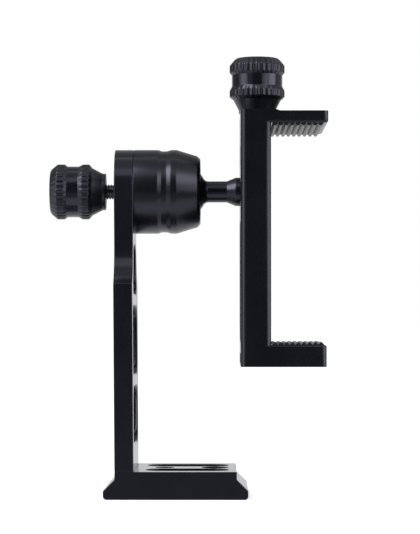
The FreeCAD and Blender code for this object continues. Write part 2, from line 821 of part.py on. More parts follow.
def clamp_body():
    body = new_body("clamp_body")
    profile = new_sketch(body, "clamp_profile", "XZ_Plane")
    outline(profile, [
        ("clamp_back", "clamp_bottom"),
        ("lower_jaw_tip", "clamp_bottom"),
        ("lower_jaw_tip", "lower_jaw_top"),
        ("clamp_front", "lower_jaw_top"),
        ("clamp_front", "clamp_top"),
        ("clamp_back", "clamp_top"),
    ])
    pad(body, profile, "clamp_width", "Symmetric")
    round_upright_edges(body, "clamp_back_edges", "clamp_back", "spine_round")
    round_upright_edges(body, "clamp_front_edges", "clamp_front", "spine_round")
    round_upright_edges(body, "lower_tip_edges", "lower_jaw_tip", "tip_round")

    tall = new_sketch(body, "back_pocket", "YZ_Plane", "clamp_back")
    rounded_outline(tall, "-back_pocket_side", "clamp_bottom + back_pocket_foot",
                    "back_pocket_side", "ball_height - back_pocket_drop", "back_pocket_corner")
    pocket(body, tall, "back_pocket_depth", backwards=True)
    low = new_sketch(body, "bottom_pocket", "YZ_Plane", "clamp_back")
    rounded_outline(low, "-back_pocket_side", "clamp_bottom + bottom_pocket_foot",
                    "back_pocket_side", "clamp_bottom + bottom_pocket_foot + bottom_pocket_height",
                    "bottom_pocket_corner")
    pocket(body, low, "bottom_pocket_depth", backwards=True)

    pin_hole = new_sketch(body, "stud_hole", "YZ_Plane", "clamp_back")
    circle(pin_hole, "0", "ball_height", "stud_pin_radius + running_clearance")
    pocket(body, pin_hole, "stud_pin_length + 0.1", backwards=True)

    screw_hole = new_sketch(body, "jaw_screw_hole", "XY_Plane", "clamp_top")
    circle(screw_hole, "jaw_screw_place", "0", "jaw_bore")
    pocket(body, screw_hole, "clamp_top - jaw_screw_tip + bore_spare")
    insert_hole = new_sketch(body, "insert_hole", "XY_Plane", "clamp_top")
    circle(insert_hole, "jaw_screw_place", "0", "insert_radius")
    pocket(body, insert_hole, "insert_length")
    rod_holes = new_sketch(body, "rod_holes", "XY_Plane", "clamp_top")
    for side in ("-", ""):
        circle(rod_holes, "rod_place", f"{side}rod_spacing / 2", "rod_radius + running_clearance")
    pocket(body, rod_holes, "clamp_top - rod_tip + bore_spare")

    seat = new_sketch(body, "lower_pad_seat", "XY_Plane", "lower_jaw_top")
    box_outline(seat, "pad_start", "-pad_side", "pad_end", "pad_side")
    pocket(body, seat, "pad_inset")
    return body


def thread_insert():
    body = new_body("thread_insert", "jaw_screw_place", "clamp_top - insert_length")
    profile = new_sketch(body, "insert_profile", "XZ_Plane")
    box_outline(profile, "screw_radius + running_clearance", "0", "insert_radius", "insert_length")
    turn(body, profile, "V_Axis")
    return body


def upper_jaw():
    body = new_body("upper_jaw")
    profile = new_sketch(body, "jaw_profile", "XZ_Plane")
    step = "clamp_front + upper_jaw_step_gap"
    outline(profile, [
        ("clamp_back", "clamp_top"),
        ("clamp_front", "clamp_top"),
        ("clamp_front", "upper_jaw_bottom"),
        ("upper_jaw_tip", "upper_jaw_bottom"),
        ("upper_jaw_tip", "upper_jaw_top"),
        (f"{step} + upper_jaw_step_run", "upper_jaw_top"),
        (step, "jaw_top"),
        ("clamp_back", "jaw_top"),
    ])
    pad(body, profile, "clamp_width", "Symmetric")
    round_upright_edges(body, "jaw_back_edges", "clamp_back", "spine_round")
    round_upright_edges(body, "jaw_front_edges", "clamp_front", "spine_round")
    round_upright_edges(body, "upper_tip_edges", "upper_jaw_tip", "tip_round")

    notch = new_sketch(body, "clip_notch", "YZ_Plane", "clamp_back")
    box_outline(notch, "-notch_width / 2", "clamp_top", "notch_width / 2", "notch_roof")
    pocket(body, notch, "notch_depth", backwards=True)
    screw_hole = new_sketch(body, "upper_screw_hole", "XY_Plane", "jaw_top")
    circle(screw_hole, "jaw_screw_place", "0", "jaw_bore")
    pocket(body, screw_hole, "upper_jaw_height")
    rod_holes = new_sketch(body, "rod_seats", "XY_Plane", "clamp_top")
    for side in ("-", ""):
        circle(rod_holes, "rod_place", f"{side}rod_spacing / 2", "rod_radius")
    pocket(body, rod_holes, "rod_bite", backwards=True)

    seat = new_sketch(body, "upper_pad_seat", "XY_Plane", "upper_jaw_bottom")
    box_outline(seat, "pad_start", "-pad_side", "pad_end", "pad_side")
    pocket(body, seat, "pad_inset", backwards=True)
    return body


def ridged_pad(label, seat_height, direction):
    """A rubber pad let into a jaw, with ribs across the phone's edge."""
    body = new_body(label, "pad_start", seat_height)
    base = new_sketch(body, label + "_base", "XZ_Plane")
    inner = f"-{direction} * pad_inset"
    bottom, top = (inner, "0") if direction == 1 else ("0", inner)
    box_outline(base, "0", bottom, "pad_length", top)
    pad(body, base, "pad_side * 2", "Symmetric")
    rib = new_sketch(body, label + "_rib", "XZ_Plane")
    crest = f"{direction} * pad_rib_height"
    outline(rib, [
        ("0", "0"),
        ("pad_rib_pitch", "0"),
        ("pad_rib_pitch / 2 + pad_rib_crest / 2", crest),
        ("pad_rib_pitch / 2 - pad_rib_crest / 2", crest),
    ])
    first = pad(body, rib, "pad_side * 2", "Symmetric")
    doc.recompute()
    pattern = body.newObject("PartDesign::LinearPattern", label + "_ribs")
    pattern.Originals = [first]
    pattern.Direction = (rib, ["H_Axis"])
    pattern.Mode = "Spacing"
    bind(pattern, "Offset", "pad_rib_pitch")
    bind(pattern, "Occurrences", "floor(pad_length / pad_rib_pitch)")
    body.Tip = pattern
    return body


def lower_pad():
    return ridged_pad("lower_pad", "lower_jaw_top", 1)


def upper_pad():
    return ridged_pad("upper_pad", "upper_jaw_bottom", -1)


def guide_rods():
    pair = doc.addObject("Part::Compound", "guide_rods")
    pair.Label = "guide_rods"
    rods = []
    for name, side in (("near_rod", "-"), ("far_rod", "")):
        rod = doc.addObject("Part::Cylinder", name)
        bind(rod, "Radius", "rod_radius")
        bind(rod, "Height", "clamp_top + rod_bite - rod_tip")
        bind(rod, "Placement.Base.x", "rod_place")
        bind(rod, "Placement.Base.y", f"{side}rod_spacing / 2")
        bind(rod, "Placement.Base.z", "rod_tip")
        rods.append(rod)
    pair.Links = rods
    return pair


def jaw_washer():
    body = new_body("jaw_washer", "jaw_screw_place", "jaw_top")
    profile = new_sketch(body, "washer_profile", "XZ_Plane")
    box_outline(profile, "screw_radius + washer_clearance", "0", "washer_radius", "washer_thickness")
    turn(body, profile, "V_Axis")
    return body


def jaw_screw():
    """A long screw with a groove for its clip, pressed into the knob."""
    body = new_body("jaw_screw", "jaw_screw_place")
    profile = new_sketch(body, "jaw_screw_profile", "XZ_Plane")
    groove_top = "clip_top + running_clearance"
    groove_bottom = "clip_top - clip_thickness - running_clearance"
    hidden_end = "jaw_knob_place + knob_bore_depth"
    outline(profile, [
        ("0", "jaw_screw_tip"),
        ("screw_radius - screw_tip_chamfer", "jaw_screw_tip"),
        ("screw_radius", "jaw_screw_tip + screw_tip_chamfer"),
        ("screw_radius", groove_bottom),
        ("clip_neck", groove_bottom),
        ("clip_neck", groove_top),
        ("screw_radius", groove_top),
        ("screw_radius", hidden_end),
        ("0", hidden_end),
    ])
    turn(body, profile, "V_Axis")
    return body


def retaining_clip():
    """An open ring that snaps into the screw's groove."""
    body = new_body("retaining_clip", "jaw_screw_place", "clip_top - clip_thickness")
    profile = new_sketch(body, "clip_profile", "XZ_Plane")
    box_outline(profile, "clip_neck + running_clearance", "0", "clip_radius", "clip_thickness")
    turn(body, profile, "V_Axis")
    opening = new_sketch(body, "clip_gap", "XY_Plane")
    box_outline(opening, "-clip_radius - 1", "-clip_opening / 2", "0", "clip_opening / 2")
    pocket(body, opening, "clip_thickness", backwards=True)
    return body


# Build, check and write every piece

PIECES = [
    dovetail_foot, upright_arm, foot_screws, ball_housing, lock_bush,
    lock_knob, lock_screw, thrust_disc, ball_seat, ball_stud,
    clamp_body, thread_insert, lower_pad, upper_jaw, upper_pad,
    guide_rods, jaw_washer, jaw_knob, jaw_screw, retaining_clip,
]
nodes = [build() for build in PIECES]
doc.recompute()

for item in doc.Objects:
    if "Invalid" in item.State or "Error" in item.State:
        raise RuntimeError(f"{item.Name} failed: {item.State}")
os.makedirs("parts", exist_ok=True)
for node in nodes:
    shape = node.Shape
    if shape.isNull() or not shape.isValid():
        raise RuntimeError(f"{node.Label} has no valid shape")
    shape.exportStep(f"parts/{node.Label}.step")
    low, high = shape.BoundBox.ZMin, shape.BoundBox.ZMax
    print(f"{node.Label}: {len(shape.Solids)} solids, {shape.Volume:.0f} mm3, Z {low:.2f} to {high:.2f}")
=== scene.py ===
# %% [markdown]
# A phone clamp on a locking ball joint, carried by a skeleton arm on a dovetail foot.
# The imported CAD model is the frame: it gives every place and every moving body. This lesson
# dresses it piece by piece with bmesh, so that each piece has the rounded edges, ribs and
# threads of the real one, and then gives it the finish, lights and camera of a product shot.

import bmesh
import bpy
import math
from mathutils import Matrix, Vector


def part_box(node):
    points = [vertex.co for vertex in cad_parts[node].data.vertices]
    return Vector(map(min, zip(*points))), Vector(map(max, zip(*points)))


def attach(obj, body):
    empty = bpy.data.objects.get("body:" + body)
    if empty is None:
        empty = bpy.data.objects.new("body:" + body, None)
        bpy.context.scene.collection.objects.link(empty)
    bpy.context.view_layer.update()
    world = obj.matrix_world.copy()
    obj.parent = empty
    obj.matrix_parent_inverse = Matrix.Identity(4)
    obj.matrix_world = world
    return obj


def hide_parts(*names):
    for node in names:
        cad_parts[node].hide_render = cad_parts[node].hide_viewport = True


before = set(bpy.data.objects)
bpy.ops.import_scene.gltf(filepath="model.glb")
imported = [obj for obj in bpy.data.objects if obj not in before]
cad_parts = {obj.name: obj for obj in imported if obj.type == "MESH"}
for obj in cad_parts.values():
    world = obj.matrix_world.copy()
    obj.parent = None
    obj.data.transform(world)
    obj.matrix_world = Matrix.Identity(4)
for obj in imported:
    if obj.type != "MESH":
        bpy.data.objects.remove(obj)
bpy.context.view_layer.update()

# %% [markdown]
# The real adapter is drawn in millimetres, and Blender works in metres. Modelling in
# millimetres keeps the numbers readable, so every mesh is built that way and scaled once, when
# it becomes an object. Corners of the CAD nodes are read in millimetres too. Points closer than
# MERGE become one, and what lies within TOUCH of a face counts as on it.

# %% Millimetres and the corners of a node
MM = 0.001
MERGE = 0.001
TOUCH = 0.01


def span(node):
    """The lowest and highest corner of a CAD node, in millimetres."""
    low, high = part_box(node)
    return Vector(low) / MM, Vector(high) / MM


foot_low, foot_high = span("dovetail_foot")
arm_low, arm_high = span("upright_arm")
housing_low, housing_high = span("ball_housing")
ball_low, ball_high = span("ball_stud")
clamp_low, clamp_high = span("clamp_body")
jaw_low, jaw_high = span("upper_jaw")
pad_low, pad_high = span("lower_pad")
clip_low, clip_high = span("retaining_clip")
BALL_HEIGHT = (ball_low.z + ball_high.z) / 2
BALL_RADIUS = (ball_high.z - ball_low.z) / 2
print(f"ball centre {BALL_HEIGHT:.1f} mm up, radius {BALL_RADIUS:.1f} mm")

# %% [markdown]
# Black anodising grows a thin glassy layer on aluminium. To the eye it is nearly black face on,
# and what it reflects turns slightly blue. A nearly black base with a little metal in it and a
# blue tint on its sheen gives that, and fine grit in the bump breaks the reflections as blasting
# does. The grit of the real one is about 0.1 mm, too fine to show in the render, so it is drawn
# three times as coarse. There are four grades: the turned and milled pieces, the blasted foot
# and arm with a lighter base, the ribbed knobs, which are the dullest, and their necks, which are
# turned finer.

# %% Colours and nodes
def linear(hex_text):
    """An sRGB hex colour as the linear values that shaders read."""
    channels = [int(hex_text[place:place + 2], 16) / 255 for place in (1, 3, 5)]
    return [c / 12.92 if c <= 0.04045 else ((c + 0.055) / 1.055) ** 2.4 for c in channels] + [1]


def add_node(tree, kind, settings, links=()):
    """One shader node with its settings, and links given as (input, output) pairs."""
    node = tree.nodes.new("ShaderNode" + kind)
    for name, value in settings.items():
        if name in node.inputs:
            node.inputs[name].default_value = value
        else:
            setattr(node, name, value)
    for name, output in links:
        tree.links.new(output, node.inputs[name])
    return node


def new_material(name):
    """An empty material, with its tree, its output and its Object coordinates."""
    material = bpy.data.materials.new(name)
    material.use_nodes = True
    tree = material.node_tree
    tree.nodes.clear()
    output = tree.nodes.new("ShaderNodeOutputMaterial")
    place = tree.nodes.new("ShaderNodeTexCoord").outputs["Object"]
    return material, tree, output, place


# %% Black anodised aluminium
GRIT = 0.3 * MM
CLOUD = 9 * MM
BLUE_SHEEN = (0.76, 0.79, 1.0, 1.0)


def black_anodised(name, dark, light, dullest, smoothest):
    """Dyed aluminium whose colour and roughness drift a little between two values."""
    material, tree, output, place = new_material(name)
    cloud = add_node(tree, "TexNoise", {"Scale": 1 / CLOUD, "Detail": 3.0}, [("Vector", place)])
    dye = add_node(tree, "ValToRGB", {}, [("Fac", cloud.outputs["Fac"])])
    dye.color_ramp.elements[0].position = 0.3
    dye.color_ramp.elements[0].color = linear(dark)
    dye.color_ramp.elements[1].position = 0.7
    dye.color_ramp.elements[1].color = linear(light)
    dullness = add_node(tree, "MapRange", {"To Min": smoothest, "To Max": dullest},
                        [("Value", cloud.outputs["Fac"])])
    grit = add_node(tree, "TexNoise", {"Scale": 1 / GRIT, "Detail": 2.0, "Roughness": 0.6},
                    [("Vector", place)])
    relief = add_node(tree, "Bump", {"Strength": 0.08, "Distance": 0.02 * MM},
                      [("Height", grit.outputs["Fac"])])
    shader = add_node(tree, "BsdfPrincipled",
                      {"Metallic": 0.1, "Specular IOR Level": 0.62, "Specular Tint": BLUE_SHEEN},
                      [("Base Color", dye.outputs["Color"]),
                       ("Roughness", dullness.outputs["Result"]),
                       ("Normal", relief.outputs["Normal"])])
    tree.links.new(shader.outputs["BSDF"], output.inputs["Surface"])
    return material


ANODISED = black_anodised("black_anodised_aluminium", "#070709", "#0a0a0d", 0.29, 0.25)
BLASTED = black_anodised("bead_blasted_black_anodised_aluminium", "#0f1014", "#131419", 0.2, 0.16)
KNURLED = black_anodised("knurled_black_anodised_aluminium", "#08080b", "#0c0c10", 0.36, 0.32)
FINE_TURNED = black_anodised("fine_turned_black_anodised_aluminium", "#0d0e12", "#111217",
                             0.2, 0.16)
print("materials:", ANODISED.name, BLASTED.name, KNURLED.name, FINE_TURNED.name)

# %% [markdown]
# The screws, rods and washer are turned steel, and the lock screw is darkened with black oxide.
# A lathe leaves marks that are too fine to see singly but break up the reflections, so a fine
# noise varies the colour and the roughness. The thread insert is brass, the ball's cup is white
# acetal, and the jaw pads are moulded black rubber whose mould was slightly textured.

# %% Steel, brass, acetal and rubber
LATHE_MARK = 0.25 * MM
MARK_SHADE = 0.92
MARK_DRIFT = 0.05
MOULD_GRAIN = 0.35 * MM


def turned_metal(name, colour, roughness):
    material, tree, output, place = new_material(name)
    marks = add_node(tree, "TexNoise", {"Scale": 1 / LATHE_MARK, "Detail": 1.0},
                     [("Vector", place)])
    dullness = add_node(tree, "MapRange",
                        {"To Min": roughness - MARK_DRIFT, "To Max": roughness + MARK_DRIFT},
                        [("Value", marks.outputs["Fac"])])
    tone = add_node(tree, "ValToRGB", {}, [("Fac", marks.outputs["Fac"])])
    tone.color_ramp.elements[0].color = [MARK_SHADE * part for part in linear(colour)[:3]] + [1]
    tone.color_ramp.elements[1].color = linear(colour)
    shader = add_node(tree, "BsdfPrincipled", {"Metallic": 1.0},
                      [("Base Color", tone.outputs["Color"]),
                       ("Roughness", dullness.outputs["Result"])])
    tree.links.new(shader.outputs["BSDF"], output.inputs["Surface"])
    return material


def moulded(name, dark, light, roughness, relief_depth):
    material, tree, output, place = new_material(name)
    grain = add_node(tree, "TexNoise", {"Scale": 1 / MOULD_GRAIN, "Detail": 2.0},
                     [("Vector", place)])
    tone = add_node(tree, "ValToRGB", {}, [("Fac", grain.outputs["Fac"])])
    tone.color_ramp.elements[0].color = linear(dark)
    tone.color_ramp.elements[1].color = linear(light)
    relief = add_node(tree, "Bump", {"Strength": 0.2, "Distance": relief_depth},
                      [("Height", grain.outputs["Fac"])])
    shader = add_node(tree, "BsdfPrincipled", {"Roughness": roughness, "IOR": 1.5},
                      [("Base Color", tone.outputs["Color"]), ("Normal", relief.outputs["Normal"])])
    tree.links.new(shader.outputs["BSDF"], output.inputs["Surface"])
    return material


STEEL = turned_metal("turned_steel", "#7d7e80", 0.3)
BLACK_STEEL = turned_metal("black_oxide_steel", "#626367", 0.3)
BRASS = turned_metal("turned_brass", "#c9a25e", 0.28)
ACETAL = moulded("turned_white_acetal", "#dcdcd6", "#e4e4df", 0.4, 0.01 * MM)
RUBBER = moulded("moulded_black_rubber", "#11141c", "#171a24", 0.4, 0.03 * MM)
print("materials:", STEEL.name, BLACK_STEEL.name, BRASS.name, ACETAL.name, RUBBER.name)

# %% [markdown]
# Most pieces here are turned or milled, so they start from an outline: a chain of points in the
# plane of X and Z, with round stretches swept by a spin. Rounding a corner of the outline with
# a vertex bevel, before it becomes a solid, gives each edge its own radius.

# %% Drawing an outline
def line_to(bm, vertex, across, up):
    """A straight edge from a vertex to a new one."""
    end = bm.verts.new((across, 0, up))
    bm.edges.new((vertex, end))
    return end


def arc_to(bm, vertex, centre, end, steps):
    """An arc about a centre, the shorter way round, from a vertex to an end point."""
    first = vertex.co - Vector((centre[0], 0, centre[1]))
    last = Vector((end[0] - centre[0], 0, end[1] - centre[1]))
    turn = math.atan2(first.z * last.x - first.x * last.z, first.x * last.x + first.z * last.z)
    swept = bmesh.ops.spin(bm, geom=[vertex], cent=(centre[0], 0, centre[1]), axis=(0, 1, 0),
                           angle=turn, steps=steps)
    return next(item for item in swept["geom_last"] if isinstance(item, bmesh.types.BMVert))


def chain(points, rounds=None):
    """Straight edges through points (across, up). rounds gives some of them a radius."""
    bm = bmesh.new()
    corners = [bm.verts.new((points[0][0], 0, points[0][1]))]
    for across, up in points[1:]:
        corners.append(line_to(bm, corners[-1], across, up))
    for place, radius in (rounds or {}).items():
        round_corner(bm, corners[place], radius)
    return bm


def round_corner(bm, vertex, radius):
    """Turn one corner of an outline into an arc of a radius."""
    arms = [edge.other_vert(vertex).co - vertex.co for edge in vertex.link_edges]
    setback = radius / math.tan(arms[0].angle(arms[1]) / 2)
    bmesh.ops.bevel(bm, geom=[vertex], affect="VERTICES", offset=setback, offset_type="OFFSET",
                    segments=4, profile=0.5, material=-1)


# %% [markdown]
# A lathe turns a bar while a tool follows the profile. Spin does the same with the outline: a
# full turn about Z, merged where it meets itself. Ninety-six steps keep a turned piece smooth at
# this distance, thin rods need fewer, and the 23 mm barrel gets more.

# %% Turning an outline
TURN_STEPS = 96
ROD_STEPS = 48
ALONG_X = Matrix.Rotation(math.radians(90), 4, "Y")


def turned(bm, steps=TURN_STEPS):
    """Spin an outline a full turn about Z. Across is its radius."""
    bmesh.ops.spin(bm, geom=bm.verts[:] + bm.edges[:], cent=(0, 0, 0), axis=(0, 0, 1),
                   angle=2 * math.pi, steps=steps, use_merge=True)
    bmesh.ops.remove_doubles(bm, verts=bm.verts, dist=MERGE)
    bmesh.ops.recalc_face_normals(bm, faces=bm.faces)
    return bm


def rod(radius, bottom, top, centre=(0, 0), chamfer=0.0):
    """A round bar along Z, chamfered at both ends where a chamfer is given."""
    bm = turned(chain([(0, bottom), (radius - chamfer, bottom), (radius, bottom + chamfer),
                       (radius, top - chamfer), (radius - chamfer, top), (0, top)]), ROD_STEPS)
    bmesh.ops.translate(bm, verts=bm.verts, vec=(centre[0], centre[1], 0))
    return bm


def on_ball_axis(bm):
    """Lay a piece made along Z on the ball's axis, which runs along X."""
    bm.transform(Matrix.Translation((0, 0, BALL_HEIGHT)) @ ALONG_X)
    return bm


# %% [markdown]
# Plates and jaws are sawn and milled from flat bar. Their outline is filled with one face and
# extruded to its depth. Windows, slots and pockets are cut by an end mill, whose radius stays
# in their corners: a box with rounded edges is the mill's swept path, and the exact boolean
# takes it away. Each cutter overruns the faces that it breaks through, and faces that stay FLAT
# to each other become one again.

# %% Milling
OVERRUN = 1.0
PARALLEL = 0.999
FLAT = math.radians(0.5)


def slab(bm, near, far):
    """Close an outline with a face and extrude it along Y, from near to far."""
    ends = [vertex for vertex in bm.verts if len(vertex.link_edges) == 1]
    if ends:
        bm.edges.new(ends)
    bmesh.ops.translate(bm, verts=bm.verts, vec=(0, near, 0))
    face = bmesh.ops.contextual_create(bm, geom=bm.edges[:])["faces"]
    grown = bmesh.ops.extrude_face_region(bm, geom=face)["geom"]
    bmesh.ops.translate(bm, verts=[item for item in grown if isinstance(item, bmesh.types.BMVert)],
                        vec=(0, far - near, 0))
    bmesh.ops.recalc_face_normals(bm, faces=bm.faces)
    return bm


def edges_along(bm, axis, test):
    """Edges parallel to an axis whose middle passes a test."""
    found = []
    for edge in bm.edges:
        run = edge.verts[1].co - edge.verts[0].co
        middle = (edge.verts[0].co + edge.verts[1].co) / 2
        if abs(run[axis]) > PARALLEL * run.length and test(middle):
            found.append(edge)
    return found


def round_edges(bm, edges, radius, segments=6):
    bmesh.ops.bevel(bm, geom=edges, affect="EDGES", offset=radius, offset_type="OFFSET",
                    segments=segments, profile=0.5, material=-1)


def mill_path(low, high, axis, radius):
    """A box with its edges along one axis rounded, for cutting a slot, window or pocket."""
    bm = bmesh.new()
    bmesh.ops.create_cube(bm, size=1)
    low, high = Vector(low), Vector(high)
    bmesh.ops.scale(bm, vec=high - low, verts=bm.verts)
    bmesh.ops.translate(bm, vec=(low + high) / 2, verts=bm.verts)
    if radius:
        round_edges(bm, edges_along(bm, axis, lambda middle: True), radius, 8)
    return bm


def carve(bm, cutters, added=()):
    """Join added shapes to a piece and take cutters away, with the exact boolean."""
    shapes = []
    for shape in [bm, *added, *cutters]:
        mesh = bpy.data.meshes.new("carving")
        shape.to_mesh(mesh)
        shape.free()
        shapes.append(bpy.data.objects.new("carving", mesh))
        bpy.context.scene.collection.objects.link(shapes[-1])
    for number, other in enumerate(shapes[1:]):
        step = shapes[0].modifiers.new("carve", "BOOLEAN")
        step.operation = "UNION" if number < len(added) else "DIFFERENCE"
        step.solver = "EXACT"
        step.object = other
    carved = bmesh.new()
    carved.from_object(shapes[0], bpy.context.evaluated_depsgraph_get())
    for shape in shapes:
        mesh = shape.data
        bpy.data.objects.remove(shape)
        bpy.data.meshes.remove(mesh)
    bmesh.ops.remove_doubles(carved, verts=carved.verts, dist=MERGE)
    bmesh.ops.dissolve_limit(carved, angle_limit=FLAT, verts=carved.verts, edges=carved.edges)
    return carved


# %% [markdown]
# A machinist breaks every sharp edge, and it is these narrow bands that catch the light and draw
# the shape. A Bevel modifier with an angle limit does that to all edges at once, and its hardened
# normals keep the faces flat between them.

# %% Finishing a piece
SHARP = math.radians(33)


def finish_piece(bm, name, body, material, nodes, edge_break=0.2):
    """Make a mesh in millimetres an object that rides on a body and replaces CAD nodes."""
    bm.transform(Matrix.Scale(MM, 4))
    mesh = bpy.data.meshes.new(name)
    bm.to_mesh(mesh)
    bm.free()
    mesh.shade_smooth()
    piece = bpy.data.objects.new(name, mesh)
    bpy.context.scene.collection.objects.link(piece)
    if edge_break:
        breaking = piece.modifiers.new("edge_break", "BEVEL")
        breaking.width = edge_break * MM
        breaking.segments = 3
        breaking.limit_method = "ANGLE"
        breaking.angle_limit = SHARP
        breaking.harden_normals = True
    else:
        mesh.set_sharp_from_angle(angle=SHARP)
    piece.data.materials.append(material)
    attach(piece, body)
    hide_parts(*nodes)
    size = (Vector(piece.bound_box[6]) - Vector(piece.bound_box[0])) / MM
    print(f"{name}: {len(mesh.polygons)} faces, {size.x:.1f} x {size.y:.1f} x {size.z:.1f} mm")
    return piece


# %% [markdown]
# The foot is a length of dovetail bar: a wide base, 45 degree flanks and a narrower top. Two
# long slots, a locating hole and a threaded hole with countersinks go through it, and two
# screws for the arm come up from below.

# %% Dovetail foot
LIP_HEIGHT = 2.3
BASE_ROUND = 1.0
SLOT_GAP = 2.9
SLOT_MARGIN = 2.1
SLOT_ASIDE = 9.0
SLOT_HALF_WIDTH = 4.5
SLOT_CORNER = 4.3
LOCATING_HOLE = 2.5
LOCATING_GAP = 7.7
TRIPOD_HOLE = 2.55
TRIPOD_MARGIN = 5.8
COUNTERSINK = 1.2
SCREW_ASIDE = 11.0
SCREW_HEAD = 2.8
SCREW_SINK = 0.3
SCREW_SHANK = 1.5
SCREW_PLAY = 0.05
base_half = foot_high.x
neck_half = -arm_low.x
flank = base_half - neck_half
foot_top = foot_high.z
arm_middle = (arm_low.x + arm_high.x) / 2


def foot_outline():
    neck_start = LIP_HEIGHT + flank
    return chain([(-base_half, 0), (base_half, 0), (base_half, LIP_HEIGHT),
                  (neck_half, neck_start), (neck_half, foot_top), (-neck_half, foot_top),
                  (-neck_half, neck_start), (-base_half, LIP_HEIGHT)])


def foot_slot(side):
    middle = side * SLOT_ASIDE
    return mill_path((arm_high.x + SLOT_GAP, middle - SLOT_HALF_WIDTH, -OVERRUN),
                     (neck_half - SLOT_MARGIN, middle + SLOT_HALF_WIDTH, foot_top + OVERRUN),
                     2, SLOT_CORNER)


def foot_screw_hole(side):
    """A hole for one of the arm's screws, countersunk from below."""
    shank = SCREW_SHANK + SCREW_PLAY
    rim = SCREW_HEAD + SCREW_SINK
    hole = turned(chain([(0, -OVERRUN), (rim + OVERRUN, -OVERRUN), (shank, rim - shank),
                         (shank, foot_top + OVERRUN), (0, foot_top + OVERRUN)]), ROD_STEPS)
    bmesh.ops.translate(hole, verts=hole.verts, vec=(arm_middle, side * SCREW_ASIDE, 0))
    return hole


def tripod_hole():
    """The tripod's threaded hole, countersunk at both ends."""
    rim = TRIPOD_HOLE + COUNTERSINK
    hole = turned(chain([(0, -OVERRUN), (rim + OVERRUN, -OVERRUN), (TRIPOD_HOLE, COUNTERSINK),
                         (TRIPOD_HOLE, foot_top - COUNTERSINK), (rim + OVERRUN, foot_top + OVERRUN),
                         (0, foot_top + OVERRUN)]), 64)
    bmesh.ops.translate(hole, verts=hole.verts, vec=(neck_half - TRIPOD_MARGIN, 0, 0))
    return hole


def dovetail_foot():
    foot = slab(foot_outline(), foot_low.y, foot_high.y)
    round_edges(foot, edges_along(foot, 1, lambda middle: middle.z < TOUCH), BASE_ROUND)
    cutters = [cutter(side) for side in (-1, 1) for cutter in (foot_slot, foot_screw_hole)]
    locating_place = (arm_high.x + LOCATING_GAP, 0)
    cutters.append(rod(LOCATING_HOLE, -OVERRUN, foot_top + OVERRUN, locating_place))
    cutters.append(tripod_hole())
    return carve(foot, cutters)


finish_piece(dovetail_foot(), "dovetail_plate", "bracket", BLASTED,
             ["dovetail_foot"], 0.25)

# %% [markdown]
# The arm is a 5 mm plate whose head is as round as the barrel that it carries. Its shoulders
# flow into the head by a hollow curve, and the three windows keep the rails at one width, also
# along that curve. Their rims are well rounded. A counterbore in the head takes the barrel's
# spigot. In the photograph the plate leans back by a little under half a degree, so each point
# is moved back in proportion to its height.

# %% Upright arm
FLARE = 13.0
NECK_DROP = 13.6
LEAN = 0.0075
RAIL = 4.0
WINDOW_FOOT = 6.7
LOW_WINDOW = 15.0
WINDOW_BAR = 3.5
WINDOW_DROP = 2.3
WINDOW_GAP = 0.8
WINDOW_CORNER = 4.0
HIGH_CORNER = 2.5
WINDOW_EDGE = 1.0
BUSH_HOLE = 3.0
SPIGOT_WALL = 1.4
SPIGOT_PLAY = 0.05
COUNTERBORE_PLAY = 0.1
HEAD_PROUD = 0.1
side = arm_high.y
thickness = arm_high.x - arm_low.x
spigot = BALL_RADIUS + SPIGOT_WALL
spigot_end = housing_low.x
head = housing_high.z - BALL_HEIGHT + HEAD_PROUD
flare_across = head + FLARE
flare_up = BALL_HEIGHT - NECK_DROP
shoulder = flare_up - math.sqrt(FLARE ** 2 - (flare_across - side) ** 2)
print(f"head radius {head:.2f} mm, shoulder {shoulder:.2f} mm up")


def arm_outline():
    bm = bmesh.new()
    vertex = bm.verts.new((side, 0, foot_top))
    vertex = line_to(bm, vertex, side, shoulder)
    vertex = arc_to(bm, vertex, (flare_across, flare_up), (head, flare_up), 14)
    vertex = line_to(bm, vertex, head, BALL_HEIGHT)
    vertex = arc_to(bm, vertex, (0, BALL_HEIGHT), (0, BALL_HEIGHT + head), 24)
    vertex = arc_to(bm, vertex, (0, BALL_HEIGHT), (-head, BALL_HEIGHT), 24)
    vertex = line_to(bm, vertex, -head, flare_up)
    vertex = arc_to(bm, vertex, (-flare_across, flare_up), (-side, shoulder), 14)
    line_to(bm, vertex, -side, foot_top)
    return bm


def low_window(bottom, top):
    return mill_path((RAIL - side, -OVERRUN, bottom), (side - RAIL, thickness + OVERRUN, top), 1,
                     WINDOW_CORNER)


def high_window(bottom, top):
    """A window whose sides follow the flare, with a rail between them."""
    reach = FLARE + RAIL

    def fillet(up):
        """The corner's centre, and where it touches the side."""
        run = math.sqrt((reach + HIGH_CORNER) ** 2 - (flare_up - up) ** 2)
        share = reach / (reach + HIGH_CORNER)
        return flare_across - run, (flare_across - run * share, flare_up - (flare_up - up) * share)

    low_centre, low_touch = fillet(bottom + HIGH_CORNER)
    high_centre, high_touch = fillet(top - HIGH_CORNER)
    bm = bmesh.new()
    vertex = bm.verts.new((0, 0, bottom))
    vertex = line_to(bm, vertex, low_centre, bottom)
    vertex = arc_to(bm, vertex, (low_centre, bottom + HIGH_CORNER), low_touch, 8)
    vertex = arc_to(bm, vertex, (flare_across, flare_up), high_touch, 10)
    vertex = arc_to(bm, vertex, (high_centre, top - HIGH_CORNER), (high_centre, top), 8)
    line_to(bm, vertex, 0, top)
    bmesh.ops.mirror(bm, geom=bm.verts[:] + bm.edges[:], axis="X", merge_dist=MERGE)
    bmesh.ops.remove_doubles(bm, verts=bm.verts, dist=MERGE)
    return slab(bm, -OVERRUN, thickness + OVERRUN)


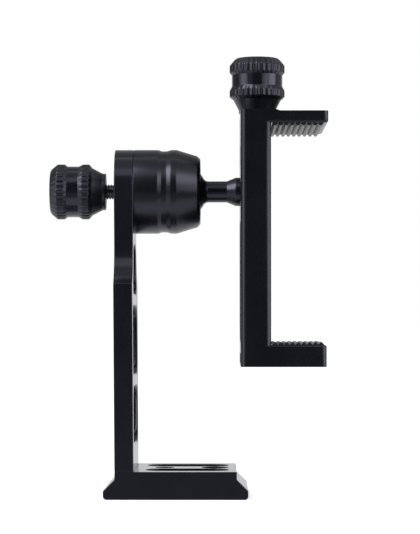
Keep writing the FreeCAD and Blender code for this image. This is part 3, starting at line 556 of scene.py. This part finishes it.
def on_window_rim(edge):
    """True for an edge where a window breaks through one of the two large faces."""
    middle = (edge.verts[0].co + edge.verts[1].co) / 2
    aside = abs(middle.x)
    return (min(middle.y, thickness - middle.y) < TOUCH
            and edge.calc_face_angle(0) > SHARP
            and aside < side - RAIL + TOUCH
            and foot_top + TOUCH < middle.z < flare_up
            and math.hypot(flare_across - aside, flare_up - middle.z) > FLARE + RAIL / 2)


def upright_arm():
    low_bottom = foot_top + WINDOW_FOOT
    low_top = low_bottom + LOW_WINDOW
    high_bottom = shoulder - WINDOW_DROP
    windows = [low_window(low_bottom, low_top),
               low_window(low_top + WINDOW_BAR, high_bottom - WINDOW_BAR),
               high_window(high_bottom, flare_up - WINDOW_GAP)]
    arm = carve(slab(arm_outline(), 0, thickness), windows)
    round_edges(arm, [edge for edge in arm.edges if on_window_rim(edge)], WINDOW_EDGE, 4)
    holes = [rod(BUSH_HOLE, -OVERRUN, thickness + OVERRUN),
             rod(spigot + SPIGOT_PLAY, -OVERRUN, arm_high.x - spigot_end + COUNTERBORE_PLAY)]
    through = Matrix.Rotation(math.radians(-90), 4, "X")
    for hole in holes:
        hole.transform(Matrix.Translation((0, 0, BALL_HEIGHT)) @ through)
    arm = carve(arm, holes)
    upright = Matrix.Rotation(math.radians(90), 4, "Z")
    arm.transform(Matrix.Translation((arm_high.x, 0, 0)) @ upright)
    for vertex in arm.verts:
        vertex.co.x -= LEAN * (vertex.co.z - foot_top)
    return arm


finish_piece(upright_arm(), "arm_plate", "bracket", BLASTED, ["upright_arm"], 0.2)

# %% [markdown]
# The barrel that holds the ball is turned in one piece. A spigot centres it in the arm. From
# there it runs straight, drops into a shallow groove, rises to a crest and tapers to a rounded
# nose. Inside, a lip stops the ball. Each of these corners has its own radius in the outline.

# %% Ball barrel
BARREL_STEPS = 128
SOCKET_PLAY = 0.1
BORE_PLAY = 0.3
BORE_STEP = -1.0
GROOVE_DEPTH = 0.36
GROOVE_BACK, GROOVE_BACK_FOOT = -5.1, -4.05
GROOVE_FRONT_FOOT, GROOVE_FRONT = -2.75, -1.55
CREST_END = -0.1
NOSE_DROP = 1.7
NOSE_BEVEL = 0.8
NOSE_FACE = 0.85
LIP_SETBACK = 3.7
LIP_LENGTH = 1.9
LIP_FLARE = 0.6


def point_at(bm, across, along):
    """The point of an outline that lies at a place."""
    place = Vector((across, 0, along))
    return next(vertex for vertex in bm.verts if (vertex.co - place).length < MERGE)


def ball_barrel():
    socket = BALL_RADIUS + SOCKET_PLAY
    lip_place = socket - LIP_SETBACK
    lip = math.sqrt(socket ** 2 - lip_place ** 2)
    bore = BALL_RADIUS + BORE_PLAY
    arm_face = arm_high.x - LEAN * (BALL_HEIGHT - foot_top)
    groove = head - GROOVE_DEPTH
    nose = head - NOSE_DROP
    front = lip_place + LIP_LENGTH
    outline = chain([
        (spigot, spigot_end), (spigot, arm_face), (head, arm_face), (head, GROOVE_BACK),
        (groove, GROOVE_BACK_FOOT), (groove, GROOVE_FRONT_FOOT), (head, GROOVE_FRONT),
        (head, CREST_END), (nose, front - NOSE_BEVEL), (nose - NOSE_FACE, front),
        (lip + LIP_FLARE, front), (lip, lip_place),
    ], {2: 0.15, 3: 0.5, 4: 0.8, 5: 1.5, 6: 1.0, 7: 1.5, 8: 0.5, 9: 0.5, 10: 0.25})
    start = point_at(outline, spigot, spigot_end)
    end = arc_to(outline, point_at(outline, lip, lip_place), (0, 0), (socket, 0), 8)
    for across, along in [(socket, BORE_STEP), (bore, BORE_STEP), (bore, spigot_end)]:
        end = line_to(outline, end, across, along)
    outline.edges.new((end, start))
    return on_ball_axis(turned(outline, BARREL_STEPS))


finish_piece(ball_barrel(), "ball_barrel", "bracket", ANODISED,
             ["ball_housing"], 0)

# %% [markdown]
# Ball, neck, stem and collar are one turned stud. Where the stem meets the ball a small fillet
# touches both, so its centre lies a radius off each. The pin at the end turns in the clamp.

# %% Ball stud
STEM = 2.85
NECK_FILLET = 1.5
COLLAR = 3.85
COLLAR_START = 3.6
COLLAR_LENGTH = 1.2
COLLAR_ROUNDS = (0.8, 1.2)
PIN = 2.5
PIN_LENGTH = 2.2


def ball_stud():
    reach = clamp_low.x
    fillet_along = math.sqrt((BALL_RADIUS + NECK_FILLET) ** 2 - (STEM + NECK_FILLET) ** 2)
    share = BALL_RADIUS / (BALL_RADIUS + NECK_FILLET)
    touch = ((STEM + NECK_FILLET) * share, fillet_along * share)
    bm = bmesh.new()
    vertex = bm.verts.new((0, 0, -BALL_RADIUS))
    vertex = arc_to(bm, vertex, (0, 0), (BALL_RADIUS, 0), 20)
    vertex = arc_to(bm, vertex, (0, 0), touch, 18)
    vertex = arc_to(bm, vertex, (STEM + NECK_FILLET, fillet_along), (STEM, fillet_along), 8)
    corners = [vertex]
    for across, along in [(STEM, reach - COLLAR_START), (COLLAR, reach - COLLAR_LENGTH),
                          (COLLAR, reach), (PIN, reach), (PIN, reach + PIN_LENGTH),
                          (0, reach + PIN_LENGTH)]:
        corners.append(line_to(bm, corners[-1], across, along))
    for corner, radius in zip(corners[1:], COLLAR_ROUNDS):
        round_corner(bm, corner, radius)
    return on_ball_axis(turned(bm))


finish_piece(ball_stud(), "ball_and_stem", "ball_stud", ANODISED,
             ["ball_stud"], 0)

# %% [markdown]
# Both knobs are the same part: a flange, a cone, and two ribbed bands with a plain neck between
# them. The blank is turned first, with eight steps to a rib. Then every point that stands proud
# of the neck is pushed in by a rounded wave, which leaves bars with hollow gaps. The wave fades
# out towards the neck and at the rim of the cap. The neck is turned last, with a finer cut.

# %% Ribbed knob
RIBS = 32
RIB_DEPTH = 0.22
RIB_STEPS = 8
NECK = 6.85
BAND = 7.42
NECK_START, NECK_END = 7.25, 10.35
BAND_END = 13.0
CAP_FADE = 1.0
knob_low, knob_high = span("jaw_knob")
KNOB_LENGTH = knob_high.z - knob_low.z
screw_across = (knob_low.x + knob_high.x) / 2


def ribbed_knob():
    # Radius and height of flange, cone, lower band, neck, upper band and cap
    blank = chain([
        (0, 0), (4.9, 0), (4.95, 0.9), (6.4, 3.65), (BAND, 4.5), (BAND, 6.2), (NECK, NECK_START),
        (NECK, NECK_END), (BAND, 11.1), (BAND, BAND_END), (6.1, 14.55), (5.6, KNOB_LENGTH),
        (0, KNOB_LENGTH),
    ], {1: 0.15, 2: 0.5, 3: 0.3, 4: 0.4, 5: 0.4, 6: 0.3, 7: 0.2, 8: 0.3, 9: 0.6, 10: 0.3, 11: 0.2})
    knob = turned(blank, RIBS * RIB_STEPS)
    for face in knob.faces:
        face.material_index = int(NECK_START < face.calc_center_median().z < NECK_END)
    for vertex in knob.verts:
        radius = math.hypot(vertex.co.x, vertex.co.y)
        proud = min(max((radius - NECK) / (BAND - NECK), 0), 1) ** 2
        if vertex.co.z > BAND_END:
            proud = min((KNOB_LENGTH - vertex.co.z) / CAP_FADE, 1)
        wave = 0.5 - 0.5 * math.cos(RIBS * math.atan2(vertex.co.y, vertex.co.x))
        shrunk = 1 - proud * wave * RIB_DEPTH / max(radius, NECK)
        vertex.co.x *= shrunk
        vertex.co.y *= shrunk
    return knob


backwards = Matrix.Rotation(math.radians(-90), 4, "Y")
lock_knob = ribbed_knob()
lock_knob.transform(Matrix.Translation((span("lock_knob")[1].x, 0, BALL_HEIGHT)) @ backwards)
lock_knob = finish_piece(lock_knob, "ribbed_lock_knob", "lock_knob", KNURLED,
                         ["lock_knob"], 0)
lock_knob.data.materials.append(FINE_TURNED)

jaw_knob = ribbed_knob()
bmesh.ops.translate(jaw_knob, verts=jaw_knob.verts, vec=(screw_across, 0, knob_low.z))
jaw_knob = finish_piece(jaw_knob, "ribbed_jaw_knob", "jaw_knob", KNURLED,
                        ["jaw_knob"], 0)
jaw_knob.data.materials.append(FINE_TURNED)

# %% [markdown]
# The screws are 4 mm with a pitch of 0.7 mm. One pitch of the thread's profile, spun while it
# climbs, winds the whole thread. Its two ends are cut flat, and filled.

# %% Threaded screw
PITCH = 0.7
THREAD_CREST = 2.05
THREAD_ROOT = 1.75
THREAD_STEPS = 24
THREAD_MERGE = 0.002
IN_LOCK_KNOB = 5.0


def threaded(bottom, top):
    """A thread along Z, cut square at both ends."""
    turns = math.ceil((top - bottom) / PITCH) + 2
    bm = chain([(THREAD_ROOT, 0), (THREAD_CREST, 0.3 * PITCH), (THREAD_CREST, 0.45 * PITCH),
                (THREAD_ROOT, 0.75 * PITCH), (THREAD_ROOT, PITCH)])
    bmesh.ops.translate(bm, verts=bm.verts, vec=(0, 0, bottom - 1.5 * PITCH))
    bmesh.ops.spin(bm, geom=bm.verts[:] + bm.edges[:], cent=(0, 0, 0), axis=(0, 0, 1),
                   dvec=(0, 0, PITCH / THREAD_STEPS), angle=2 * math.pi * turns,
                   steps=THREAD_STEPS * turns)
    bmesh.ops.remove_doubles(bm, verts=bm.verts, dist=THREAD_MERGE)
    for height, normal in ((bottom, -1), (top, 1)):
        cut = bmesh.ops.bisect_plane(bm, geom=bm.verts[:] + bm.edges[:] + bm.faces[:], dist=0.0001,
                                     plane_co=(0, 0, height), plane_no=(0, 0, normal),
                                     clear_outer=True)
        rim = [item for item in cut["geom_cut"] if isinstance(item, bmesh.types.BMEdge)]
        bmesh.ops.contextual_create(bm, geom=rim)
    bmesh.ops.recalc_face_normals(bm, faces=bm.faces)
    return bm


lock_low, lock_high = span("lock_screw")
lock_screw = on_ball_axis(threaded(lock_low.x + IN_LOCK_KNOB, lock_high.x))
finish_piece(lock_screw, "threaded_lock_screw", "lock_knob", BLACK_STEEL,
             ["lock_screw"], 0)

# %% [markdown]
# The jaw screw is threaded up to the sliding jaw. Above that it is plain, with a groove for the
# clip that keeps it in the jaw, and it ends inside the knob.

# %% Jaw screw
SHANK = 1.9
SHANK_BEVEL = 0.4
THREAD_TO_CLIP = 1.2
CLIP_GROOVE = 1.45
CLIP_PLAY = 0.05
IN_JAW_KNOB = 4.0
screw_low, screw_high = span("jaw_screw")


def jaw_shank(start, end):
    """The plain part of the screw, with the clip's groove."""
    groove_low, groove_high = clip_low.z - CLIP_PLAY, clip_high.z + CLIP_PLAY
    return turned(chain([(0, start), (SHANK - SHANK_BEVEL, start), (SHANK, start + SHANK_BEVEL),
                         (SHANK, groove_low), (CLIP_GROOVE, groove_low),
                         (CLIP_GROOVE, groove_high), (SHANK, groove_high), (SHANK, end),
                         (0, end)]), 32)


def jaw_screw():
    thread_top = clip_low.z - THREAD_TO_CLIP
    screw = threaded(screw_low.z, thread_top)
    shank = jaw_shank(thread_top - SHANK_BEVEL, screw_high.z - IN_JAW_KNOB)
    mesh = bpy.data.meshes.new("shank")
    shank.to_mesh(mesh)
    shank.free()
    screw.from_mesh(mesh)
    bpy.data.meshes.remove(mesh)
    bmesh.ops.translate(screw, verts=screw.verts, vec=(screw_across, 0, 0))
    return screw


finish_piece(jaw_screw(), "threaded_jaw_screw", "jaw_knob", STEEL, ["jaw_screw"], 0)

# %% [markdown]
# Spine and lower jaw of the clamp are milled from one block. The upright edges are generously
# rounded for the hand, and so is the rim of the jaw on the side of the phone. A wide pocket and
# a low recess lighten the back, and a shallow seat takes the rubber pad. The bores for screw and
# rods go a little deeper than these reach.

# %% Clamp body
SPINE_ROUND = 1.5
TIP_ROUND = 1.25
GRIP_ROUND = 0.7
PAD_SEAT = 0.8
PAD_GAP = 0.3
JAW_ROOT = 3.0
BACK_RIM = 3.0
POCKET_START, POCKET_DROP, POCKET_DEPTH, POCKET_CORNER = 6.5, 8.1, 1.5, 3.0
RECESS_START, RECESS_END, RECESS_DEPTH, RECESS_CORNER = 0.8, 3.4, 1.2, 1.0
INSERT_BORE, INSERT_DEPTH = 2.75, 4.0
SCREW_BORE = 2.2
SPARE_DEPTH = 2.0
ROD_RADIUS = 1.5
ROD_ASIDE = 11.0
ROD_PLAY = 0.05
PIN_PLAY = 0.05
PIN_END_PLAY = 0.1
pad_start, pad_end = pad_low.x, pad_high.x
clamp_front = pad_start - PAD_GAP
lower_top = pad_low.z + PAD_SEAT
rod_low, rod_high = span("guide_rods")
rod_across = (rod_low.x + rod_high.x) / 2


def spine_block(bottom, top):
    """The upright of the clamp, with its four long edges rounded."""
    return mill_path((clamp_low.x, clamp_low.y, bottom), (clamp_front, clamp_high.y, top), 2,
                     SPINE_ROUND)


def jaw_plate(points, tip, grip):
    """A jaw that starts inside the upright, with a rounded tip and a rounded rim at its grip."""
    inside = clamp_front - JAW_ROOT
    plate = slab(chain([(inside, points[0][1]), *points, (inside, points[-1][1])]),
                 clamp_low.y, clamp_high.y)
    round_edges(plate, edges_along(plate, 2, lambda middle: middle.x > tip - TOUCH), TIP_ROUND)
    rim = [edge for edge in plate.edges
           if all(abs(vertex.co.z - grip) < TOUCH for vertex in edge.verts)
           and max(vertex.co.x for vertex in edge.verts) > inside + TOUCH]
    round_edges(plate, rim, GRIP_ROUND, 4)
    return plate


def pad_seat(bottom, top):
    return mill_path((pad_start, pad_low.y, bottom), (pad_end, pad_high.y, top), 2, 0)


def clamp_body():
    low, top, back, tip = clamp_low.z, clamp_high.z, clamp_low.x, clamp_high.x
    jaw = jaw_plate([(tip, low), (tip, lower_top)], tip, lower_top)
    half = clamp_high.y - BACK_RIM
    cutters = [
        mill_path((back - OVERRUN, -half, low + POCKET_START),
                  (back + POCKET_DEPTH, half, BALL_HEIGHT - POCKET_DROP), 0, POCKET_CORNER),
        mill_path((back - OVERRUN, -half, low + RECESS_START),
                  (back + RECESS_DEPTH, half, low + RECESS_END), 0, RECESS_CORNER),
        pad_seat(pad_low.z, lower_top + OVERRUN),
        rod(INSERT_BORE, top - INSERT_DEPTH, top + OVERRUN, (screw_across, 0)),
        rod(SCREW_BORE, screw_low.z - SPARE_DEPTH, top + OVERRUN, (screw_across, 0)),
        *[rod(ROD_RADIUS + ROD_PLAY, rod_low.z - SPARE_DEPTH, top + OVERRUN, (rod_across, aside))
          for aside in (-ROD_ASIDE, ROD_ASIDE)],
        on_ball_axis(rod(PIN + PIN_PLAY, back - OVERRUN, back + PIN_LENGTH + PIN_END_PLAY)),
    ]
    return carve(spine_block(low, top), cutters, [jaw])


finish_piece(clamp_body(), "clamp_spine_and_lower_jaw", "clamp", ANODISED,
             ["clamp_body"], 0.25)

# %% [markdown]
# The upper jaw slides on two rods. It repeats the spine's section, steps down a little behind
# the knob and carries its pad upside down. A notch at the back lets the clip onto the screw.

# %% Upper jaw
STEP_PLACE = 1.2
STEP_SLOPE = 1.1
STEP_DROP = 0.4
NOTCH_HALF_WIDTH = 5.5
NOTCH_DEPTH = 7.2
NOTCH_HEADROOM = 0.1
SPINE_GAP = 0.03
upper_pad_top = span("upper_pad")[1].z
plate_low = upper_pad_top - PAD_SEAT


def upper_jaw():
    low, top, back, tip = jaw_low.z, jaw_high.z, jaw_low.x, jaw_high.x
    step = clamp_front + STEP_PLACE
    plate = jaw_plate([(tip, plate_low), (tip, top - STEP_DROP),
                       (step + STEP_SLOPE, top - STEP_DROP), (step, top)], tip, plate_low)
    cutters = [
        mill_path((back - OVERRUN, -NOTCH_HALF_WIDTH, low - OVERRUN),
                  (back + NOTCH_DEPTH, NOTCH_HALF_WIDTH, clip_high.z + NOTCH_HEADROOM), 0, 0),
        pad_seat(plate_low - OVERRUN, upper_pad_top),
        rod(SCREW_BORE, low - OVERRUN, top + OVERRUN, (screw_across, 0)),
    ]
    return carve(spine_block(low + SPINE_GAP, top), cutters, [plate])


finish_piece(upper_jaw(), "sliding_upper_jaw", "jaw", ANODISED,
             ["upper_jaw"], 0.25)

# %% [markdown]
# The pads are moulded rubber, let into the jaws and slightly proud of them. Ribs run across the
# phone's edge, with flanks that slope and flat crests whose edges are broken. One rib is drawn,
# and a loop repeats it along the outline.

# %% Ridged pads
RIB_PITCH = 1.5
PAD_PROUD = 0.05
RIB_HEIGHT = 0.65
RIB_CREST = 0.45


def ridged_pad(base, surface, out):
    """A pad from its base to its surface, with ribs that point out: 1 is up and -1 is down."""
    surface += out * PAD_PROUD
    crest = surface + out * RIB_HEIGHT
    points = [(pad_start, base), (pad_start, surface)]
    for rib in range(int((pad_end - pad_start) / RIB_PITCH)):
        middle = pad_start + (rib + 0.5) * RIB_PITCH
        points += [(middle - RIB_CREST / 2, crest), (middle + RIB_CREST / 2, crest),
                   (middle + RIB_PITCH / 2, surface)]
    points += [(pad_end, surface), (pad_end, base)]
    return slab(chain(points), pad_low.y, pad_high.y)


finish_piece(ridged_pad(pad_low.z, lower_top, 1), "lower_grip_pad", "clamp", RUBBER,
             ["lower_pad"], 0.12)
finish_piece(ridged_pad(upper_pad_top, plate_low, -1), "upper_grip_pad", "jaw", RUBBER,
             ["upper_pad"], 0.12)

# %% [markdown]
# The small hardware: guide rods with chamfered ends, the washer under the jaw knob, and the two
# countersunk screws with a hexagon socket that hold the arm from below.

# %% Rods, washer and foot screws
ROD_CHAMFER = 0.3
WASHER_HOLE, WASHER_EDGE, WASHER_ROUND = 2.1, 4.7, 0.1
KNOB_GAP = 0.02
SCREW_TIP = 0.4
HEX_RADIUS = 1.15
HEX_DEPTH = 1.0


def on_both_sides(bm):
    """Repeat a piece on the other side of the middle plane."""
    bmesh.ops.mirror(bm, geom=bm.verts[:] + bm.edges[:] + bm.faces[:], axis="Y", merge_dist=MERGE)
    bmesh.ops.recalc_face_normals(bm, faces=bm.faces)
    return bm


def knob_washer():
    low, high = span("jaw_washer")
    top = high.z - KNOB_GAP
    washer = turned(chain([(WASHER_HOLE, low.z), (WASHER_EDGE, low.z), (WASHER_EDGE, top),
                           (WASHER_HOLE, top), (WASHER_HOLE, low.z)],
                          {1: WASHER_ROUND, 2: WASHER_ROUND}))
    bmesh.ops.translate(washer, verts=washer.verts, vec=(screw_across, 0, 0))
    return washer


def foot_screws():
    low, high = span("foot_screws")
    cone_top = low.z + SCREW_HEAD - SCREW_SHANK
    screw = turned(chain([(0, low.z), (SCREW_HEAD, low.z), (SCREW_SHANK, cone_top),
                          (SCREW_SHANK, high.z - SCREW_TIP), (SCREW_SHANK - SCREW_TIP, high.z),
                          (0, high.z)]), ROD_STEPS)
    socket = bmesh.new()
    bmesh.ops.create_cone(socket, cap_ends=True, segments=6, radius1=HEX_RADIUS,
                          radius2=HEX_RADIUS, depth=2 * HEX_DEPTH)
    bmesh.ops.translate(socket, verts=socket.verts, vec=(0, 0, low.z))
    screw = carve(screw, [socket])
    bmesh.ops.translate(screw, verts=screw.verts, vec=(arm_middle, SCREW_ASIDE, 0))
    return on_both_sides(screw)


guide_rods = on_both_sides(rod(ROD_RADIUS, rod_low.z, rod_high.z, (rod_across, ROD_ASIDE),
                               ROD_CHAMFER))
finish_piece(guide_rods, "steel_guide_rods", "jaw", STEEL, ["guide_rods"], 0)
finish_piece(knob_washer(), "knob_washer", "jaw", STEEL, ["jaw_washer"], 0)
finish_piece(foot_screws(), "countersunk_foot_screws", "bracket", STEEL,
             ["foot_screws"], 0)

# %% [markdown]
# The bush, disc, cup, insert and clip lie inside, and the CAD already has their shape. They keep
# their CAD solids and only need their real finish.

# %% Finish of the inner pieces
INNER = {"lock_bush": STEEL, "thrust_disc": STEEL, "ball_seat": ACETAL, "thread_insert": BRASS,
         "retaining_clip": STEEL}
for node, material in INNER.items():
    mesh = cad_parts[node].data
    mesh.materials.clear()
    mesh.materials.append(material)
print("finished:", ", ".join(INNER))

# %% [markdown]
# A product shot stands on a white sweep. The floor is matt white and gives off just enough
# light to reach white for the camera, and it keeps a soft shadow. Reflections pass through it,
# so that the cards below can set how dark the undersides look. The world is white too where it
# is seen, and lights the pieces at three quarters of that.

# %% White floor and world
def seen_or_reflected(tree):
    """1 for camera, glossy and transmission rays, and 0 for the rest."""
    path = tree.nodes.new("ShaderNodeLightPath")
    either = add_node(tree, "Math", {"operation": "MAXIMUM"})
    tree.links.new(path.outputs["Is Camera Ray"], either.inputs[0])
    tree.links.new(path.outputs["Is Glossy Ray"], either.inputs[1])
    seen = add_node(tree, "Math", {"operation": "MAXIMUM"})
    tree.links.new(either.outputs[0], seen.inputs[0])
    tree.links.new(path.outputs["Is Transmission Ray"], seen.inputs[1])
    return seen.outputs[0]


FLOOR_GLOW = 0.42
FLOOR_SIZE = 20
FLOOR_DROP = 0.01 * MM


def white_floor():
    material = bpy.data.materials.new("matt_white_sweep")
    material.use_nodes = True
    tree = material.node_tree
    tree.nodes.clear()
    output = tree.nodes.new("ShaderNodeOutputMaterial")
    matt = add_node(tree, "BsdfDiffuse", {"Color": linear("#f4f4f4")})
    glow_level = add_node(tree, "Math", {"operation": "MULTIPLY"})
    tree.links.new(seen_or_reflected(tree), glow_level.inputs[0])
    glow_level.inputs[1].default_value = FLOOR_GLOW
    glow = add_node(tree, "Emission", {"Color": linear("#ffffff")},
                    [("Strength", glow_level.outputs[0])])
    both = tree.nodes.new("ShaderNodeAddShader")
    tree.links.new(matt.outputs[0], both.inputs[0])
    tree.links.new(glow.outputs[0], both.inputs[1])
    tree.links.new(both.outputs[0], output.inputs["Surface"])
    bm = bmesh.new()
    bmesh.ops.create_grid(bm, x_segments=1, y_segments=1, size=FLOOR_SIZE)
    mesh = bpy.data.meshes.new("studio_floor")
    bm.to_mesh(mesh)
    bm.free()
    floor = bpy.data.objects.new("studio_floor", mesh)
    floor.location.z = -FLOOR_DROP
    floor.data.materials.append(material)
    floor.visible_glossy = False
    bpy.context.scene.collection.objects.link(floor)


DIM = 0.75


def white_world():
    world = bpy.data.worlds.new("white_studio")
    world.use_nodes = True
    tree = world.node_tree
    tree.nodes.clear()
    output = tree.nodes.new("ShaderNodeOutputWorld")
    level = add_node(tree, "MapRange", {"To Min": DIM, "To Max": 1.0},
                     [("Value", seen_or_reflected(tree))])
    background = add_node(tree, "Background", {"Color": linear("#ffffff")},
                          [("Strength", level.outputs["Result"])])
    tree.links.new(background.outputs[0], output.inputs["Surface"])
    bpy.context.scene.world = world


white_floor()
white_world()
print("floor and world are white")

# %% [markdown]
# Black metal shows only what it reflects. Soft boxes on the left and right put the pale bands on
# the barrel, the stem and the knobs. Cards from black to mid grey, which only reflections see,
# stand all round and set how deep each face looks from each side. A soft box's power is its
# brightness times its area times pi.

# %% Soft boxes and cards
AIM = Vector((0.01, 0, 0.06))
BOX_DISTANCE = 0.9
CARD_DISTANCE = 1.0


def around(distance, azimuth, elevation):
    """A place round the object, in degrees. Azimuth 0 is the camera's side, 90 the clamp's."""
    turn, rise = math.radians(azimuth), math.radians(elevation)
    flat = distance * math.cos(rise)
    return AIM + Vector((flat * math.sin(turn), -flat * math.cos(turn), distance * math.sin(rise)))


def soft_box(name, place, width, height, brightness):
    """A rectangular light that faces the object and that the camera doesn't see."""
    light = bpy.data.lights.new(name, "AREA")
    light.shape = "RECTANGLE"
    light.size = width
    light.size_y = height
    light.energy = brightness * width * height * math.pi
    lamp = bpy.data.objects.new(name, light)
    lamp.location = place
    lamp.rotation_euler = (AIM - place).to_track_quat("-Z", "Y").to_euler()
    lamp.visible_camera = False
    bpy.context.scene.collection.objects.link(lamp)


def card_for_reflections(name, place, width, height, shade):
    """A card that faces the object and that only reflections see. Shade 0 is black, 1 is white."""
    material = bpy.data.materials.new(name)
    material.use_nodes = True
    tree = material.node_tree
    tree.nodes.clear()
    output = tree.nodes.new("ShaderNodeOutputMaterial")
    glow = add_node(tree, "Emission", {"Color": linear("#ffffff"), "Strength": shade})
    tree.links.new(glow.outputs[0], output.inputs["Surface"])
    bm = bmesh.new()
    bmesh.ops.create_grid(bm, x_segments=1, y_segments=1, size=0.5)
    bmesh.ops.scale(bm, verts=bm.verts, vec=(width, height, 1))
    mesh = bpy.data.meshes.new(name)
    bm.to_mesh(mesh)
    bm.free()
    card = bpy.data.objects.new(name, mesh)
    card.location = place
    card.rotation_euler = (AIM - place).to_track_quat("-Z", "Y").to_euler()
    card.data.materials.append(material)
    for kind in ("camera", "diffuse", "transmission", "shadow", "volume_scatter"):
        setattr(card, "visible_" + kind, False)
    bpy.context.scene.collection.objects.link(card)


# Azimuth, elevation, width, height and brightness
SOFT_BOXES = {
    "left": (-49, 42, 0.36, 0.7, 6.0), "left_low": (-64, 8, 0.45, 0.42, 1.4),
    "right_up": (38, 34, 0.5, 0.42, 2.2), "right_low": (42, 9, 0.25, 0.25, 1.0),
    "right": (72, 5, 0.55, 0.48, 2.2),
}
for name, (azimuth, elevation, width, height, brightness) in SOFT_BOXES.items():
    soft_box(name + "_box", around(BOX_DISTANCE, azimuth, elevation), width, height, brightness)

# Azimuth, elevation, width, height and shade
CARDS = {
    "front": (0, 17, 0.81, 0.98, 0.03), "under": (0, -18, 0.93, 0.43, 0.28),
    "near_left": (-32, 2, 0.4, 0.54, 0.3), "near_right": (36, -9, 0.5, 0.35, 0.1),
    "right_shoulder": (72, 35, 0.61, 0.46, 0.32), "top": (0, 80, 1.0, 0.6, 0.42),
    "below": (0, -85, 0.7, 0.7, 0.2), "rear_top": (180, 60, 1.15, 0.54, 0.3),
    "rear": (180, 30, 1.15, 0.6, 0.4), "rear_right": (120, 20, 1.15, 0.93, 0.42),
    "rear_left": (-120, 20, 1.15, 0.93, 0.18),
}
for name, (azimuth, elevation, width, height, shade) in CARDS.items():
    card_for_reflections(name + "_card", around(CARD_DISTANCE, azimuth, elevation), width, height,
                         shade)
print("lights:", [item.name for item in bpy.data.lights])

# %% [markdown]
# The photograph was taken level with the middle of the adapter, square to its side and from
# about 58 cm away, through a long lens. Its lines meet at one vanishing point, which gives the
# camera's height, and the sizes of near and far edges give the distance.

# %% Camera
FRAME_HEIGHT_PIXELS = 534
FOCAL_PIXELS = 2144
CAMERA_PLACE = Vector((12.1, -578.0, 46.4)) * MM
YAW_LEFT = 0.32
PITCH_UP = 1.47

camera_data = bpy.data.cameras.new("camera")
camera_data.sensor_width = 36.0
camera_data.lens = FOCAL_PIXELS / FRAME_HEIGHT_PIXELS * camera_data.sensor_width
camera_data.clip_start = 0.01
camera = bpy.data.objects.new("camera", camera_data)
camera.location = CAMERA_PLACE
camera.rotation_euler = (math.radians(90 + PITCH_UP), 0, math.radians(YAW_LEFT))
bpy.context.scene.collection.objects.link(camera)
bpy.context.scene.camera = camera
bpy.context.scene.view_settings.view_transform = "Standard"
print(f"lens {camera_data.lens:.1f} mm")

# %% [markdown]
# Each dressed piece has printed its size as it was made. Last, the scene is brought up to date.

# %% Finish
bpy.context.view_layer.update()
